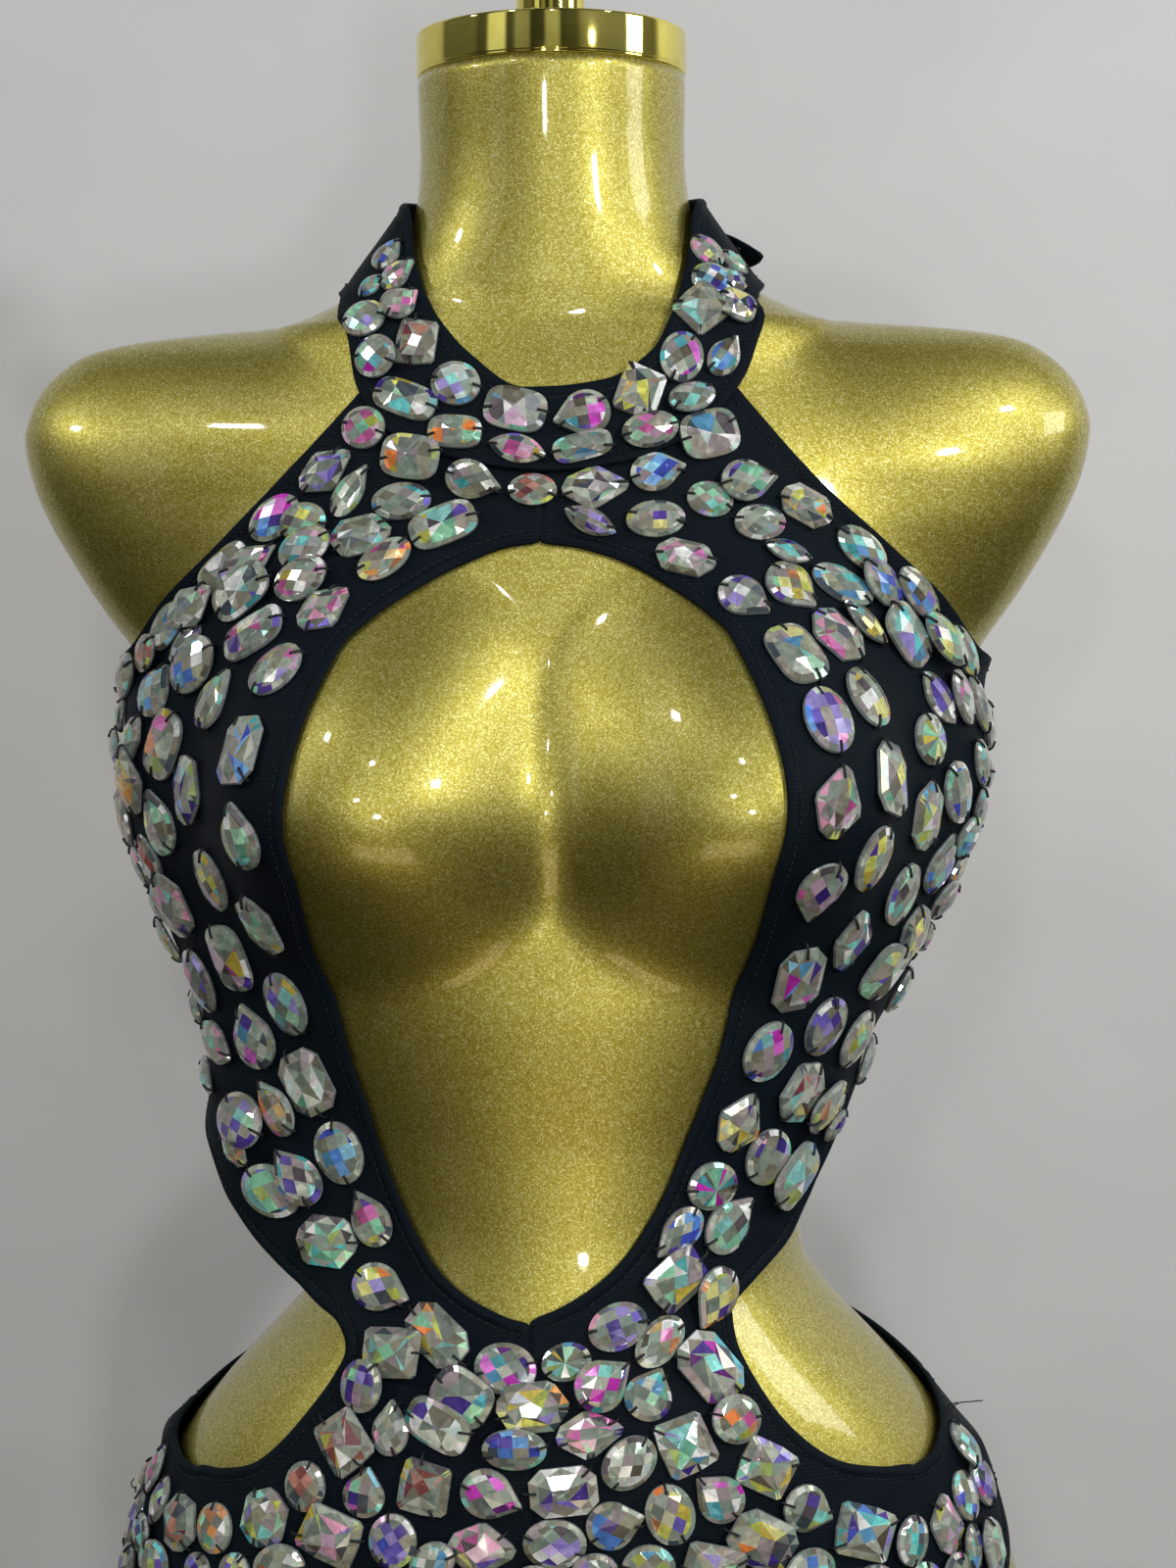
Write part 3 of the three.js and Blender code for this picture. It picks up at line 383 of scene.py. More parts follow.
# The sewn-on stones, charted one by one: middle in pixels of the photograph, length and width as seen there,
# tilt of the long way (degrees, anticlockwise), cut and main tint.
# A main tint of w paints many of a stone's facets near white: painted glints.
STONES = [
    # x, y, long, short, tilt, cut, tint
    # collar and neck straps
    (393, 261, 38, 20, 52, "drop", "b"), (404, 281, 42, 25, 42, "drop", "p"),
    (375, 293, 32, 20, 42, "navette", "t"), (370, 321, 44, 33, 12, "oval", "g"),
    (407, 312, 42, 27, 38, "drop", "p"), (423, 350, 46, 40, 78, "square", "r"),
    (382, 366, 43, 43, 0, "round", "m"), (411, 408, 64, 35, -20, "cushion", "g"),
    (463, 392, 50, 43, -20, "oval", "w"), (525, 418, 64, 42, -12, "cushion", "c"),
    (369, 438, 44, 41, -10, "round", "p"), (462, 441, 55, 32, -3, "cushion", "o"),
    (527, 458, 60, 28, -13, "navette", "p"), (594, 423, 60, 44, -165, "drop", "m"),
    (595, 456, 62, 26, 13, "cushion", "t"), (655, 400, 50, 45, 68, "square", "y"),
    (665, 439, 58, 34, 10, "oval", "p"), (726, 444, 60, 46, 14, "cushion", "w"),
    (698, 365, 50, 43, 80, "oval", "m"), (743, 363, 45, 31, 58, "drop", "b"),
    (708, 408, 48, 32, 18, "oval", "t"), (752, 269, 36, 22, -42, "navette", "g"),
    (723, 259, 40, 27, -42, "oval", "p"), (753, 291, 32, 22, -35, "oval", "v"),
    (727, 291, 43, 30, -38, "oval", "b"), (754, 316, 40, 31, -15, "cushion", "y"),
    (719, 318, 46, 39, -48, "square", "g"),
    # chest, viewer's left
    (418, 468, 62, 43, -10, "cushion", "y"), (482, 491, 58, 38, -15, "drop", "w"),
    (543, 500, 50, 31, 0, "oval", "r"), (407, 512, 61, 36, 6, "oval", "t"),
    (450, 536, 72, 38, 22, "cushion", "g"), (366, 548, 64, 38, 10, "hex", "c"),
    (390, 574, 62, 29, 33, "oval", "o"), (355, 501, 62, 26, 58, "drop", "w"),
    (329, 481, 64, 37, 38, "kite", "v"), (277, 529, 60, 35, 40, "oval", "m"),
    (308, 534, 46, 36, 20, "round", "g"), (311, 561, 58, 32, 28, "oval", "c"),
    (307, 594, 60, 34, 25, "oval", "p"), (328, 623, 64, 36, 38, "kite", "p"),
    (218, 578, 62, 30, 42, "cushion", "c"), (254, 575, 62, 27, 38, "drop", "v"),
    (248, 606, 70, 34, 36, "cushion", "w"), (257, 648, 70, 36, 32, "cushion", "p"),
    (279, 685, 66, 38, 42, "oval", "v"), (168, 627, 54, 28, 56, "oval", "t"),
    (197, 620, 58, 32, 46, "kite", "c"), (187, 658, 46, 24, 48, "kite", "g"),
    (150, 666, 40, 26, 52, "oval", "r"), (128, 689, 40, 24, 66, "oval", "c"),
    (132, 712, 44, 20, 80, "oval", "o"), (153, 705, 56, 31, 62, "drop", "b"),
    (198, 680, 62, 32, 58, "oval", "b"), (217, 714, 66, 37, 62, "drop", "g"),
    (119, 730, 30, 15, 90, "oval", "g"), (165, 754, 68, 34, 72, "cushion", "o"),
    (131, 757, 50, 24, 66, "hex", "g"), (244, 767, 72, 48, 76, "octagon", "b"),
    (116, 766, 42, 16, 98, "oval", "v"), (192, 806, 76, 48, 96, "hex", "v"),
    (134, 796, 72, 34, 96, "kite", "o"), (243, 852, 72, 44, 102, "drop", "g"),
    (163, 838, 70, 31, 108, "drop", "g"), (126, 832, 62, 28, 106, "oval", "r"),
    (214, 898, 66, 41, 104, "oval", "y"), (152, 878, 60, 27, 112, "navette", "r"),
    (136, 884, 48, 20, 112, "oval", "c"), (177, 921, 72, 34, 108, "hex", "p"),
    (150, 921, 36, 15, 112, "oval", "c"), (171, 956, 50, 21, 120, "navette", "y"),
    (262, 945, 74, 42, 116, "hex", "g"), (233, 976, 72, 40, 110, "cushion", "p"),
    (203, 999, 68, 46, 112, "oval", "v"), (188, 1026, 34, 15, 112, "oval", "r"),
    (290, 1023, 67, 40, 107, "oval", "g"), (219, 1063, 64, 34, 132, "navette", "c"),
    (257, 1056, 70, 42, 110, "drop", "m"), (210, 1096, 50, 18, 116, "navette", "c"),
    (313, 1103, 68, 50, 116, "octagon", "w"), (281, 1129, 64, 35, 124, "drop", "o"),
    (236, 1170, 46, 22, 124, "kite", "y"), (247, 1144, 62, 50, 142, "oval", "v"),
    (344, 1176, 66, 45, 112, "oval", "b"), (274, 1215, 62, 48, 155, "oval", "g"),
    (301, 1200, 68, 38, 130, "drop", "m"), (375, 1243, 62, 37, 118, "drop", "p"),
    (331, 1267, 62, 50, -12, "hex", "g"), (388, 1316, 60, 46, -22, "drop", "y"),
    # chest, viewer's right
    (608, 498, 70, 42, 4, "kite", "g"), (674, 481, 58, 38, 12, "drop", "b"),
    (603, 532, 58, 25, -24, "navette", "v"), (671, 530, 61, 36, 3, "oval", "y"),
    (702, 571, 64, 33, -16, "hex", "p"), (727, 510, 48, 34, -12, "oval", "g"),
    (773, 493, 60, 42, 8, "drop", "g"), (778, 534, 52, 35, 0, "oval", "c"),
    (754, 560, 68, 44, -40, "cushion", "c"), (763, 612, 58, 38, -30, "drop", "v"),
    (811, 601, 62, 38, -40, "drop", "y"), (826, 517, 60, 34, -32, "hex", "y"),
    (806, 566, 50, 22, -24, "navette", "t"), (835, 557, 68, 36, -38, "cushion", "p"),
    (882, 560, 60, 32, -40, "oval", "t"), (862, 598, 68, 31, -26, "oval", "t"),
    (899, 598, 62, 31, -38, "oval", "b"), (937, 606, 66, 29, -48, "oval", "b"),
    (857, 650, 68, 38, -42, "hex", "p"), (883, 638, 62, 22, -40, "navette", "y"),
    (926, 649, 68, 34, -50, "cushion", "t"), (985, 664, 54, 21, -64, "oval", "g"),
    (960, 655, 62, 28, -50, "oval", "g"), (815, 669, 68, 46, -56, "cushion", "g"),
    (925, 694, 64, 34, -58, "oval", "b"), (958, 706, 62, 25, -60, "navette", "v"),
    (1001, 718, 58, 18, -72, "oval", "c"), (982, 712, 58, 23, -68, "oval", "c"),
    (847, 736, 70, 50, 106, "oval", "v"), (891, 715, 68, 39, 120, "oval", "y"),
    (950, 755, 53, 35, 105, "fan", "g"), (985, 763, 60, 26, 102, "oval", "g"),
    (1005, 778, 46, 16, 98, "oval", "g"), (911, 795, 73, 44, 90, "octagon", "y"),
    (979, 808, 62, 29, 96, "oval", "b"), (1001, 826, 52, 17, 92, "oval", "c"),
    (857, 819, 78, 55, 80, "kite", "p"), (947, 832, 72, 36, 80, "hex", "g"),
    (893, 875, 68, 44, 72, "oval", "y"), (987, 852, 46, 18, 74, "oval", "b"),
    (962, 880, 66, 31, 66, "drop", "b"), (984, 887, 52, 20, 66, "oval", "o"),
    (838, 909, 69, 48, -114, "drop", "v"), (922, 911, 64, 34, 74, "oval", "g"),
    (961, 914, 46, 20, 66, "oval", "c"), (934, 951, 60, 33, 74, "hex", "y"),
    (871, 957, 72, 50, 68, "kite", "t"), (958, 955, 28, 14, 66, "oval", "c"),
    (945, 964, 46, 20, 68, "oval", "v"), (901, 988, 66, 38, 62, "cushion", "g"),
    (900, 1018, 44, 24, 62, "oval", "c"), (934, 1008, 52, 18, 66, "oval", "c"),
    (917, 1014, 62, 18, 70, "navette", "o"), (815, 996, 62, 50, 76, "octagon", "m"),
    (847, 1041, 64, 43, 66, "oval", "v"), (886, 1080, 50, 20, 62, "oval", "c"),
    (875, 1058, 64, 37, 64, "oval", "y"), (785, 1072, 67, 44, 60, "oval", "m"),
    (819, 1113, 68, 35, 56, "hex", "r"), (842, 1127, 56, 34, 36, "cushion", "y"),
    (853, 1147, 36, 13, 66, "oval", "v"), (756, 1145, 66, 50, 62, "kite", "y"),
    (785, 1180, 60, 40, 64, "oval", "v"), (811, 1198, 76, 38, 50, "cushion", "g"),
    (728, 1210, 50, 46, 10, "fan", "m"), (693, 1259, 64, 34, -132, "drop", "b"),
    (746, 1248, 68, 40, 50, "drop", "g"), (690, 1305, 62, 46, 42, "square", "g"),
    (726, 1326, 64, 46, -112, "drop", "y"),
    # belly
    (674, 1370, 62, 38, 48, "oval", "o"), (725, 1397, 76, 48, -48, "octagon", "m"),
    (631, 1355, 62, 45, 26, "oval", "v"), (578, 1391, 51, 37, 14, "fan", "g"),
    (664, 1423, 56, 50, 66, "drop", "t"), (616, 1412, 64, 50, 38, "drop", "m"),
    (515, 1398, 63, 50, -10, "oval", "m"), (445, 1364, 76, 44, -44, "octagon", "y"),
    (401, 1383, 60, 50, -6, "square", "g"), (371, 1416, 54, 44, 70, "oval", "v"),
    (472, 1426, 64, 50, -36, "cushion", "m"), (448, 1455, 70, 44, -30, "cushion", "w"),
    (397, 1458, 56, 35, 86, "drop", "c"), (351, 1472, 58, 48, 118, "square", "r"),
    (543, 1437, 74, 50, 2, "hex", "y"), (525, 1478, 65, 42, 0, "oval", "b"),
    (602, 1465, 70, 46, 10, "kite", "p"), (642, 1493, 62, 46, 42, "oval", "w"),
    (701, 1475, 58, 53, 112, "square", "g"), (751, 1449, 52, 48, 0, "round", "o"),
    (784, 1499, 54, 50, -28, "square", "g"), (734, 1527, 54, 46, 140, "drop", "m"),
    (826, 1540, 52, 46, -20, "drop", "g"), (575, 1523, 69, 46, 6, "octagon", "v"),
    (501, 1527, 65, 46, -22, "drop", "m"), (432, 1519, 52, 50, 78, "square", "r"),
    (370, 1523, 50, 44, 80, "drop", "m"), (313, 1513, 50, 41, 92, "oval", "r"),
    (685, 1546, 60, 48, 106, "oval", "y"), (629, 1556, 60, 45, 16, "drop", "b"),
    (566, 1576, 64, 46, -2, "oval", "v"), (490, 1582, 70, 50, -4, "kite", "p"),
    (399, 1573, 53, 48, 84, "oval", "v"), (336, 1566, 60, 52, 150, "square", "p"),
    (778, 1571, 66, 52, -26, "octagon", "y"), (880, 1561, 56, 52, -16, "square", "t"),
    (930, 1572, 50, 40, 86, "oval", "t"), (968, 1556, 60, 30, 98, "kite", "p"),
    (1003, 1515, 50, 25, 112, "oval", "v"), (984, 1477, 54, 19, 108, "navette", "t"),
    (987, 1527, 50, 21, 102, "oval", "b"), (992, 1580, 48, 16, 100, "oval", "b"),
    (1010, 1579, 58, 28, 106, "hex", "g"), (268, 1549, 58, 43, 74, "hex", "g"),
    (217, 1560, 50, 33, 94, "oval", "o"), (182, 1554, 57, 29, 88, "hex", "r"),
    (158, 1500, 50, 20, 66, "navette", "v"), (137, 1508, 34, 20, 58, "oval", "y"),
    (161, 1532, 48, 19, 70, "navette", "v"), (138, 1549, 58, 20, 72, "navette", "v"),
    (149, 1560, 40, 21, 74, "oval", "t"), (133, 1593, 42, 23, 66, "oval", "g"),
    (158, 1594, 44, 27, 88, "oval", "g"), (199, 1604, 38, 30, 90, "oval", "v"),
    (237, 1606, 40, 36, 80, "oval", "g"), (284, 1599, 48, 46, 20, "round", "o"),
    (441, 1594, 50, 38, 36, "oval", "t"), (657, 1602, 54, 46, 0, "oval", "g"),
    (607, 1605, 48, 40, 0, "oval", "v"), (729, 1600, 58, 50, -12, "square", "g"),
    (826, 1603, 54, 46, 10, "oval", "b"), (895, 1612, 46, 38, 20, "oval", "t"),
    (345, 1616, 48, 40, 30, "oval", "y"), (545, 1616, 46, 38, 15, "oval", "m"),
    (779, 1620, 46, 40, 30, "oval", "c"), (946, 1620, 50, 36, 90, "oval", "g"),
    (976, 1606, 44, 26, 98, "oval", "p"),
]


# ------------------------------------------------------------------ helpers
def smooth(t):
    t = np.clip(t, 0, 1)
    return t * t * (3 - 2 * t)


def mix(a, b, t):
    return a + (b - a) * t


def wrap(d):
    return (np.asarray(d, float) + 180) % 360 - 180


def smax(a, b, k):
    h = np.clip(0.5 + 0.5 * (a - b) / k, 0, 1)
    return b + (a - b) * h + k * h * (1 - h)


def curve(rows, key, col):
    """One column of a table as a smooth curve without overshoot (monotone cubic)."""
    xs = np.array([r[key] for r in rows], float)
    ys = np.array([r[col] for r in rows], float)
    if xs[0] > xs[-1]:
        xs, ys = xs[::-1], ys[::-1]
    h = np.diff(xs)
    d = np.diff(ys) / h
    n = len(xs)
    m = np.zeros(n)
    m[0], m[-1] = d[0], d[-1]
    for i in range(1, n - 1):
        if d[i - 1] * d[i] > 0:
            a, b = 2 * h[i] + h[i - 1], h[i] + 2 * h[i - 1]
            m[i] = (a + b) / (a / d[i - 1] + b / d[i])

    def f(x):
        x = np.clip(np.asarray(x, float), xs[0], xs[-1])
        i = np.clip(np.searchsorted(xs, x, side="right") - 1, 0, n - 2)
        t = (x - xs[i]) / h[i]
        return (
            (1 + 2 * t) * (1 - t) ** 2 * ys[i]
            + t * (1 - t) ** 2 * h[i] * m[i]
            + t * t * (3 - 2 * t) * ys[i + 1]
            + t * t * (t - 1) * h[i] * m[i + 1]
        )

    return f


def at(deg, r, z):
    a = np.radians(deg)
    r = np.asarray(r, float)
    return np.stack([r * np.sin(a), -r * np.cos(a), z + 0 * r], -1)


# ------------------------------------------------------------------ surfaces
torso = [curve(TORSO, 0, c) for c in range(1, 6)]
wing = [curve(WING, 0, c) for c in (1, 2)]
slack_left, slack_right = curve(SLACK, 0, 1), curve(SLACK, 0, 2)


def form_radius(deg, z):
    deg, z = np.asarray(deg, float), np.asarray(z, float)
    a = np.radians(deg)
    s, c = np.abs(np.sin(a)), np.cos(a)
    n = np.where(c >= 0, torso[3](z), torso[4](z))
    b = np.where(c >= 0, torso[1](z), torso[2](z))
    body = ((s / torso[0](z)) ** n + (np.abs(c) / b) ** n) ** (-1 / n)
    n = WING_SQUARE
    arm = ((s / wing[0](z)) ** n + (np.abs(c) / wing[1](z)) ** n) ** (-1 / n)
    arm = arm * np.clip((z - WING[0][0]) / 30, 0, 1) * np.clip((WING[-1][0] - z) / 3, 0, 1)
    r = smax(body, arm, WING_BLEND)
    v = (z - BUST["height"]) / mix(BUST["down"], BUST["up"], smooth((z - BUST["height"] + 34) / 68))
    x = r * np.sin(a)
    rise = 0
    for side in (-1, 1):
        rise = rise + np.clip(1 - ((x - side * BUST["side"]) / BUST["wide"]) ** 2 - v * v, 0, 1) ** 2
    waist = NECK_WAIST * np.sin(math.pi * np.clip((z - 672) / (NECK_TOP - 672), 0, 1)) ** 2
    return r + BUST["rise"] * rise * np.clip(c, 0, 1) ** 0.8 - waist


def channel(x, y):
    front = FRONT_RISE[2] * (np.clip(-y - FRONT_RISE[0], 0, 200) / FRONT_RISE[1]) ** 2
    back = BACK_RISE[2] * (np.clip(y - BACK_RISE[0], 0, 200) / BACK_RISE[1]) ** 2
    u = np.abs(x) / CROTCH_HALF
    return (CROTCH_HEIGHT + front + back) * (1 - smooth((u - CROTCH_FLAT) / (1 - CROTCH_FLAT)))


def rim_height(deg):
    z = np.zeros_like(np.asarray(deg, float))
    for _ in range(40):
        p = at(deg, form_radius(deg, z + BASE_ROUND) - BASE_ROUND, 0)
        z = mix(z, channel(p[..., 0], p[..., 1]), 0.6)
    return np.where(z < 0.02, 0, z)


ARC = np.array(SLACK_ARC, float)


def slack(deg, z):
    w = wrap(deg)
    p = np.abs(w)
    lo = np.interp(z, ARC[:, 0], ARC[:, 1])
    hi = np.interp(z, ARC[:, 0], ARC[:, 2])
    share = smooth((p - lo) / (hi - lo)) * (1 - smooth((p - 105) / 60))
    s = np.where(w < 0, slack_left(z), slack_right(z)) * share
    for angle, height, rise, arc, half in FOLDS:
        s = s + rise * np.exp(-(((w - angle) / arc) ** 2) - ((z - height) / half) ** 2)
    return s


def inner_radius(deg, z):
    return form_radius(deg, z) + EASE + slack(deg, z)


collar_in, collar_out = curve(COLLAR, 0, 1), curve(COLLAR, 0, 2)


def collar_radius(deg, z):
    w = np.clip(wrap(deg), -179.7, 179.7)
    zi, zo = collar_in(w), collar_out(w)
    t = np.clip((zi - z) / (zi - zo), -0.2, 1.2)
    chord = mix(form_radius(w, zi), form_radius(w, zo), t)
    bridge = smooth((np.abs(w) - 40) / 35)
    return EASE + CLOTH + LAP + smax(form_radius(w, z), chord - (1 - bridge) * 12, 2)


def normal_of(radius, deg, z):
    e, f = 0.4, 0.6
    u = at(deg + e, radius(deg + e, z), z) - at(deg - e, radius(deg - e, z), z)
    v = at(deg, radius(deg, z + f), z + f) - at(deg, radius(deg, z - f), z - f)
    n = np.cross(u, v)
    return n / np.linalg.norm(n, axis=-1, keepdims=True)


def skin(deg, z):
    """The outside of whatever cloth lies uppermost there: its radius."""
    w = wrap(deg)
    r = inner_radius(deg, z) + CLOTH
    on = (z < collar_in(w)) & (z > collar_out(w))
    return np.where(on, collar_radius(deg, z) + CLOTH, r)


# ------------------------------------------------------------------ camera
def camera_frame():
    a = math.radians(CAMERA["az"])
    back = np.array([math.sin(a), -math.cos(a), 0.0])
    right = np.array([math.cos(a), math.sin(a), 0.0])
    up = np.array([0, 0, 1.0])
    pos = back * CAMERA["dist"] + up * CAMERA["z"]
    p = math.atan((PHOTO[1] / 2 - CAMERA["row"]) / CAMERA["f"])
    fwd = -back * math.cos(p) - up * math.sin(p)
    upv = up * math.cos(p) - back * math.sin(p)
    yaw = math.atan((PHOTO[0] / 2 - CAMERA["column"]) / CAMERA["f"])
    fwd, right = (
        fwd * math.cos(yaw) + right * math.sin(yaw),
        right * math.cos(yaw) - fwd * math.sin(yaw),
    )
    r = math.radians(CAMERA["roll"])
    return pos, fwd, right * math.cos(r) - upv * math.sin(r), upv * math.cos(r) + right * math.sin(r)


EYE, LOOK, RIGHT, UP = camera_frame()
cam_data = bpy.data.cameras.new("camera")
cam_data.sensor_fit = "VERTICAL"
cam_data.sensor_height = 36
cam_data.lens = CAMERA["f"] / PHOTO[1] * 36
cam_data.clip_start = 0.05
cam_data.clip_end = 50
camera = bpy.data.objects.new("camera", cam_data)
scene.collection.objects.link(camera)
turn = Matrix([[RIGHT[i], UP[i], -LOOK[i]] for i in range(3)]).to_4x4()
camera.matrix_world = Matrix.Translation((EYE[0] / 1000, (EYE[1] + SHIFT_Y) / 1000, EYE[2] / 1000)) @ turn
scene.camera = camera


def ray(px, py):
    d = LOOK + RIGHT * ((px - PHOTO[0] / 2) / CAMERA["f"]) + UP * ((PHOTO[1] / 2 - py) / CAMERA["f"])
    return d / np.linalg.norm(d)


def hit(px, py, radius):
    """First place where the ray through a pixel meets a surface, or its nearest miss."""
    d = ray(px, py)
    t = np.linspace(850, 1300, 1400)
    p = EYE + d * t[:, None]
    g = np.hypot(p[:, 0], p[:, 1]) - radius(np.degrees(np.arctan2(p[:, 0], -p[:, 1])), p[:, 2])
    k = np.where(g < 0)[0]
    if len(k) == 0 or k[0] == 0:
        j = int(np.argmin(g))
        return p[j], float(g[j])
    j = k[0]
    u = g[j - 1] / (g[j - 1] - g[j])
    return p[j - 1] + (p[j] - p[j - 1]) * u, 0.0


# ------------------------------------------------------------------ meshes
def mesh_object(name, points, faces, material, flat=False, uv=None, tints=None):
    """Points in mm about the axis. uv: one pair per point. tints: one colour per face."""
    pts = np.asarray(points, float).reshape(-1, 3)
    pts = (pts + np.array([0, SHIFT_Y, 0])) / 1000
    me = bpy.data.meshes.new(name)
    me.from_pydata(pts.tolist(), [], [list(map(int, f)) for f in faces])
    me.polygons.foreach_set("use_smooth", [not flat] * len(me.polygons))
    if uv is not None:
        layer = me.uv_layers.new(name="UVMap")
        idx = np.zeros(len(me.loops), int)
        me.loops.foreach_get("vertex_index", idx)
        layer.data.foreach_set("uv", np.asarray(uv, float)[idx].ravel())
    if tints is not None:
        layer = me.color_attributes.new(name="tint", type="FLOAT_COLOR", domain="CORNER")
        per = np.repeat(np.asarray(tints, float), [len(f) for f in faces], axis=0)
        layer.data.foreach_set("color", np.c_[per, np.ones(len(per))].ravel())
    me.materials.append(material)
    me.validate()
    me.update()
    ob = bpy.data.objects.new(name, me)
    scene.collection.objects.link(ob)
    return ob


def tubes(paths, radius, sides=6):
    """Points and faces of round threads along the paths, each with closed ends."""
    pts, faces = [], []
    for path in paths:
        path = np.asarray(path, float)
        n = len(path)
        base = len(pts)
        tan = np.gradient(path, axis=0)
        tan /= np.linalg.norm(tan, axis=1, keepdims=True) + 1e-12
        ref = np.array([0.31, 0.22, 0.92])
        for i in range(n):
            a = np.cross(tan[i], ref)
            a /= np.linalg.norm(a) + 1e-12
            b = np.cross(tan[i], a)
            for k in range(sides):
                w = 2 * math.pi * k / sides
                pts.append(path[i] + radius * (a * math.cos(w) + b * math.sin(w)))
        for i in range(n - 1):
            for k in range(sides):
                p, q = base + i * sides + k, base + i * sides + (k + 1) % sides
                faces.append((p, q, q + sides, p + sides))
        faces.append(tuple(base + k for k in range(sides))[::-1])
        faces.append(tuple(base + (n - 1) * sides + k for k in range(sides)))
    return pts, faces


# ------------------------------------------------------------------ node helpers
def new_material(name):
    m = bpy.data.materials.new(name)
    m.use_nodes = True
    nt = m.node_tree
    return m, nt, nt.nodes["Principled BSDF"]


def node(nt, kind, **values):
    n = nt.nodes.new(kind)
    for k, v in values.items():
        if hasattr(n, k):
            setattr(n, k, v)
        else:
            n.inputs[k.replace("_", " ")].default_value = v
    return n


def ramp(nt, fac, stops):
    n = nt.nodes.new("ShaderNodeValToRGB")
    while len(n.color_ramp.elements) < len(stops):
        n.color_ramp.elements.new(0.5)
    for e, (pos, col) in zip(n.color_ramp.elements, stops):
        e.position = pos
        e.color = (*col, 1) if len(col) == 3 else col
    nt.links.new(fac, n.inputs["Fac"])
    return n.outputs["Color"]


def math_node(nt, op, a, b=None, clamp=False):
    n = nt.nodes.new("ShaderNodeMath")
    n.operation = op
    n.use_clamp = clamp
    for i, v in enumerate((a, b)):
        if v is None:
            continue
        if isinstance(v, (int, float)):
            n.inputs[i].default_value = v
        else:
            nt.links.new(v, n.inputs[i])
    return n.outputs[0]


def blend(nt, fac, a, b, kind="MIX"):
    n = nt.nodes.new("ShaderNodeMix")
    n.data_type = "RGBA"
    n.blend_type = kind
    for sock, v in (("Factor", fac), ("A", a), ("B", b)):
        s = [i for i in n.inputs if i.name == sock and (i.type == "RGBA" or sock == "Factor" and i.type == "VALUE")][0]
        if isinstance(v, (int, float)):
            s.default_value = v
        elif isinstance(v, tuple):
            s.default_value = (*v, 1)
        else:
            nt.links.new(v, s)
    return [o for o in n.outputs if o.type == "RGBA"][0]


def noise(nt, vec, scale, detail=3.0, rough=0.5):
    n = nt.nodes.new("ShaderNodeTexNoise")
    n.inputs["Scale"].default_value = scale
    n.inputs["Detail"].default_value = detail
    n.inputs["Roughness"].default_value = rough
    nt.links.new(vec, n.inputs["Vector"])
    return n.outputs["Fac"], n.outputs["Color"]


def voronoi(nt, vec, scale, feature="F1"):
    n = nt.nodes.new("ShaderNodeTexVoronoi")
    n.feature = feature
    n.inputs["Scale"].default_value = scale
    nt.links.new(vec, n.inputs["Vector"])
    return n


def coords(nt, kind="Object"):
    return nt.nodes.new("ShaderNodeTexCoord").outputs[kind]


def bump(nt, height, strength, distance, normal=None):
    n = nt.nodes.new("ShaderNodeBump")
    n.inputs["Strength"].default_value = strength
    n.inputs["Distance"].default_value = distance
    nt.links.new(height, n.inputs["Height"])
    if normal is not None:
        nt.links.new(normal, n.inputs["Normal"])
    return n.outputs["Normal"]


# ------------------------------------------------------------------ materials
def gold_flake():
    m, nt, p = new_material("gold_flake")
    co = coords(nt)
    flakes = voronoi(nt, co, 2300)
    cloudy, _ = noise(nt, co, 7, 1)
    fine, _ = noise(nt, co, 900, 1, 0.7)
    sep = nt.nodes.new("ShaderNodeSeparateColor")
    nt.links.new(flakes.outputs["Color"], sep.inputs["Color"])
    # Each flake is painted a tone between dark olive and pale gold at random: partly the paint's own grain, partly
    # painted sparkle on the palest flakes.
    base = ramp(
        nt,
        sep.outputs["Red"],
        [(0.0, (0.26, 0.192, 0.017)), (0.45, (0.45, 0.392, 0.062)), (0.8, (0.59, 0.545, 0.145)), (1.0, (0.90, 0.88, 0.45))],
    )
    base = blend(nt, 0.28, base, ramp(nt, cloudy, [(0.3, (0.43, 0.355, 0.046)), (0.7, (0.54, 0.485, 0.105))]))
    nt.links.new(base, p.inputs["Base Color"])
    p.inputs["Metallic"].default_value = 0.97
    rough = math_node(nt, "ADD", math_node(nt, "MULTIPLY", sep.outputs["Green"], 0.10), 0.40)
    nt.links.new(rough, p.inputs["Roughness"])
    h = math_node(nt, "ADD", sep.outputs["Blue"], math_node(nt, "MULTIPLY", fine, 0.5))
    nt.links.new(bump(nt, h, 0.16, 0.00012), p.inputs["Normal"])
    p.inputs["Coat Weight"].default_value = 0.85
    p.inputs["Coat Roughness"].default_value = 0.06
    p.inputs["Coat IOR"].default_value = 1.45
    return m


def polished_gold():
    m, nt, p = new_material("polished_gold")
    co = coords(nt)
    smudge, _ = noise(nt, co, 60, 4, 0.6)
    broad, _ = noise(nt, co, 9, 2)
    base = ramp(nt, smudge, [(0.35, (0.76, 0.66, 0.13)), (0.65, (0.88, 0.79, 0.22))])
    nt.links.new(base, p.inputs["Base Color"])
    p.inputs["Metallic"].default_value = 1.0
    rough = math_node(nt, "ADD", math_node(nt, "MULTIPLY", smudge, 0.07), 0.015)
    nt.links.new(rough, p.inputs["Roughness"])
    nt.links.new(bump(nt, broad, 0.25, 0.0012), p.inputs["Normal"])
    return m


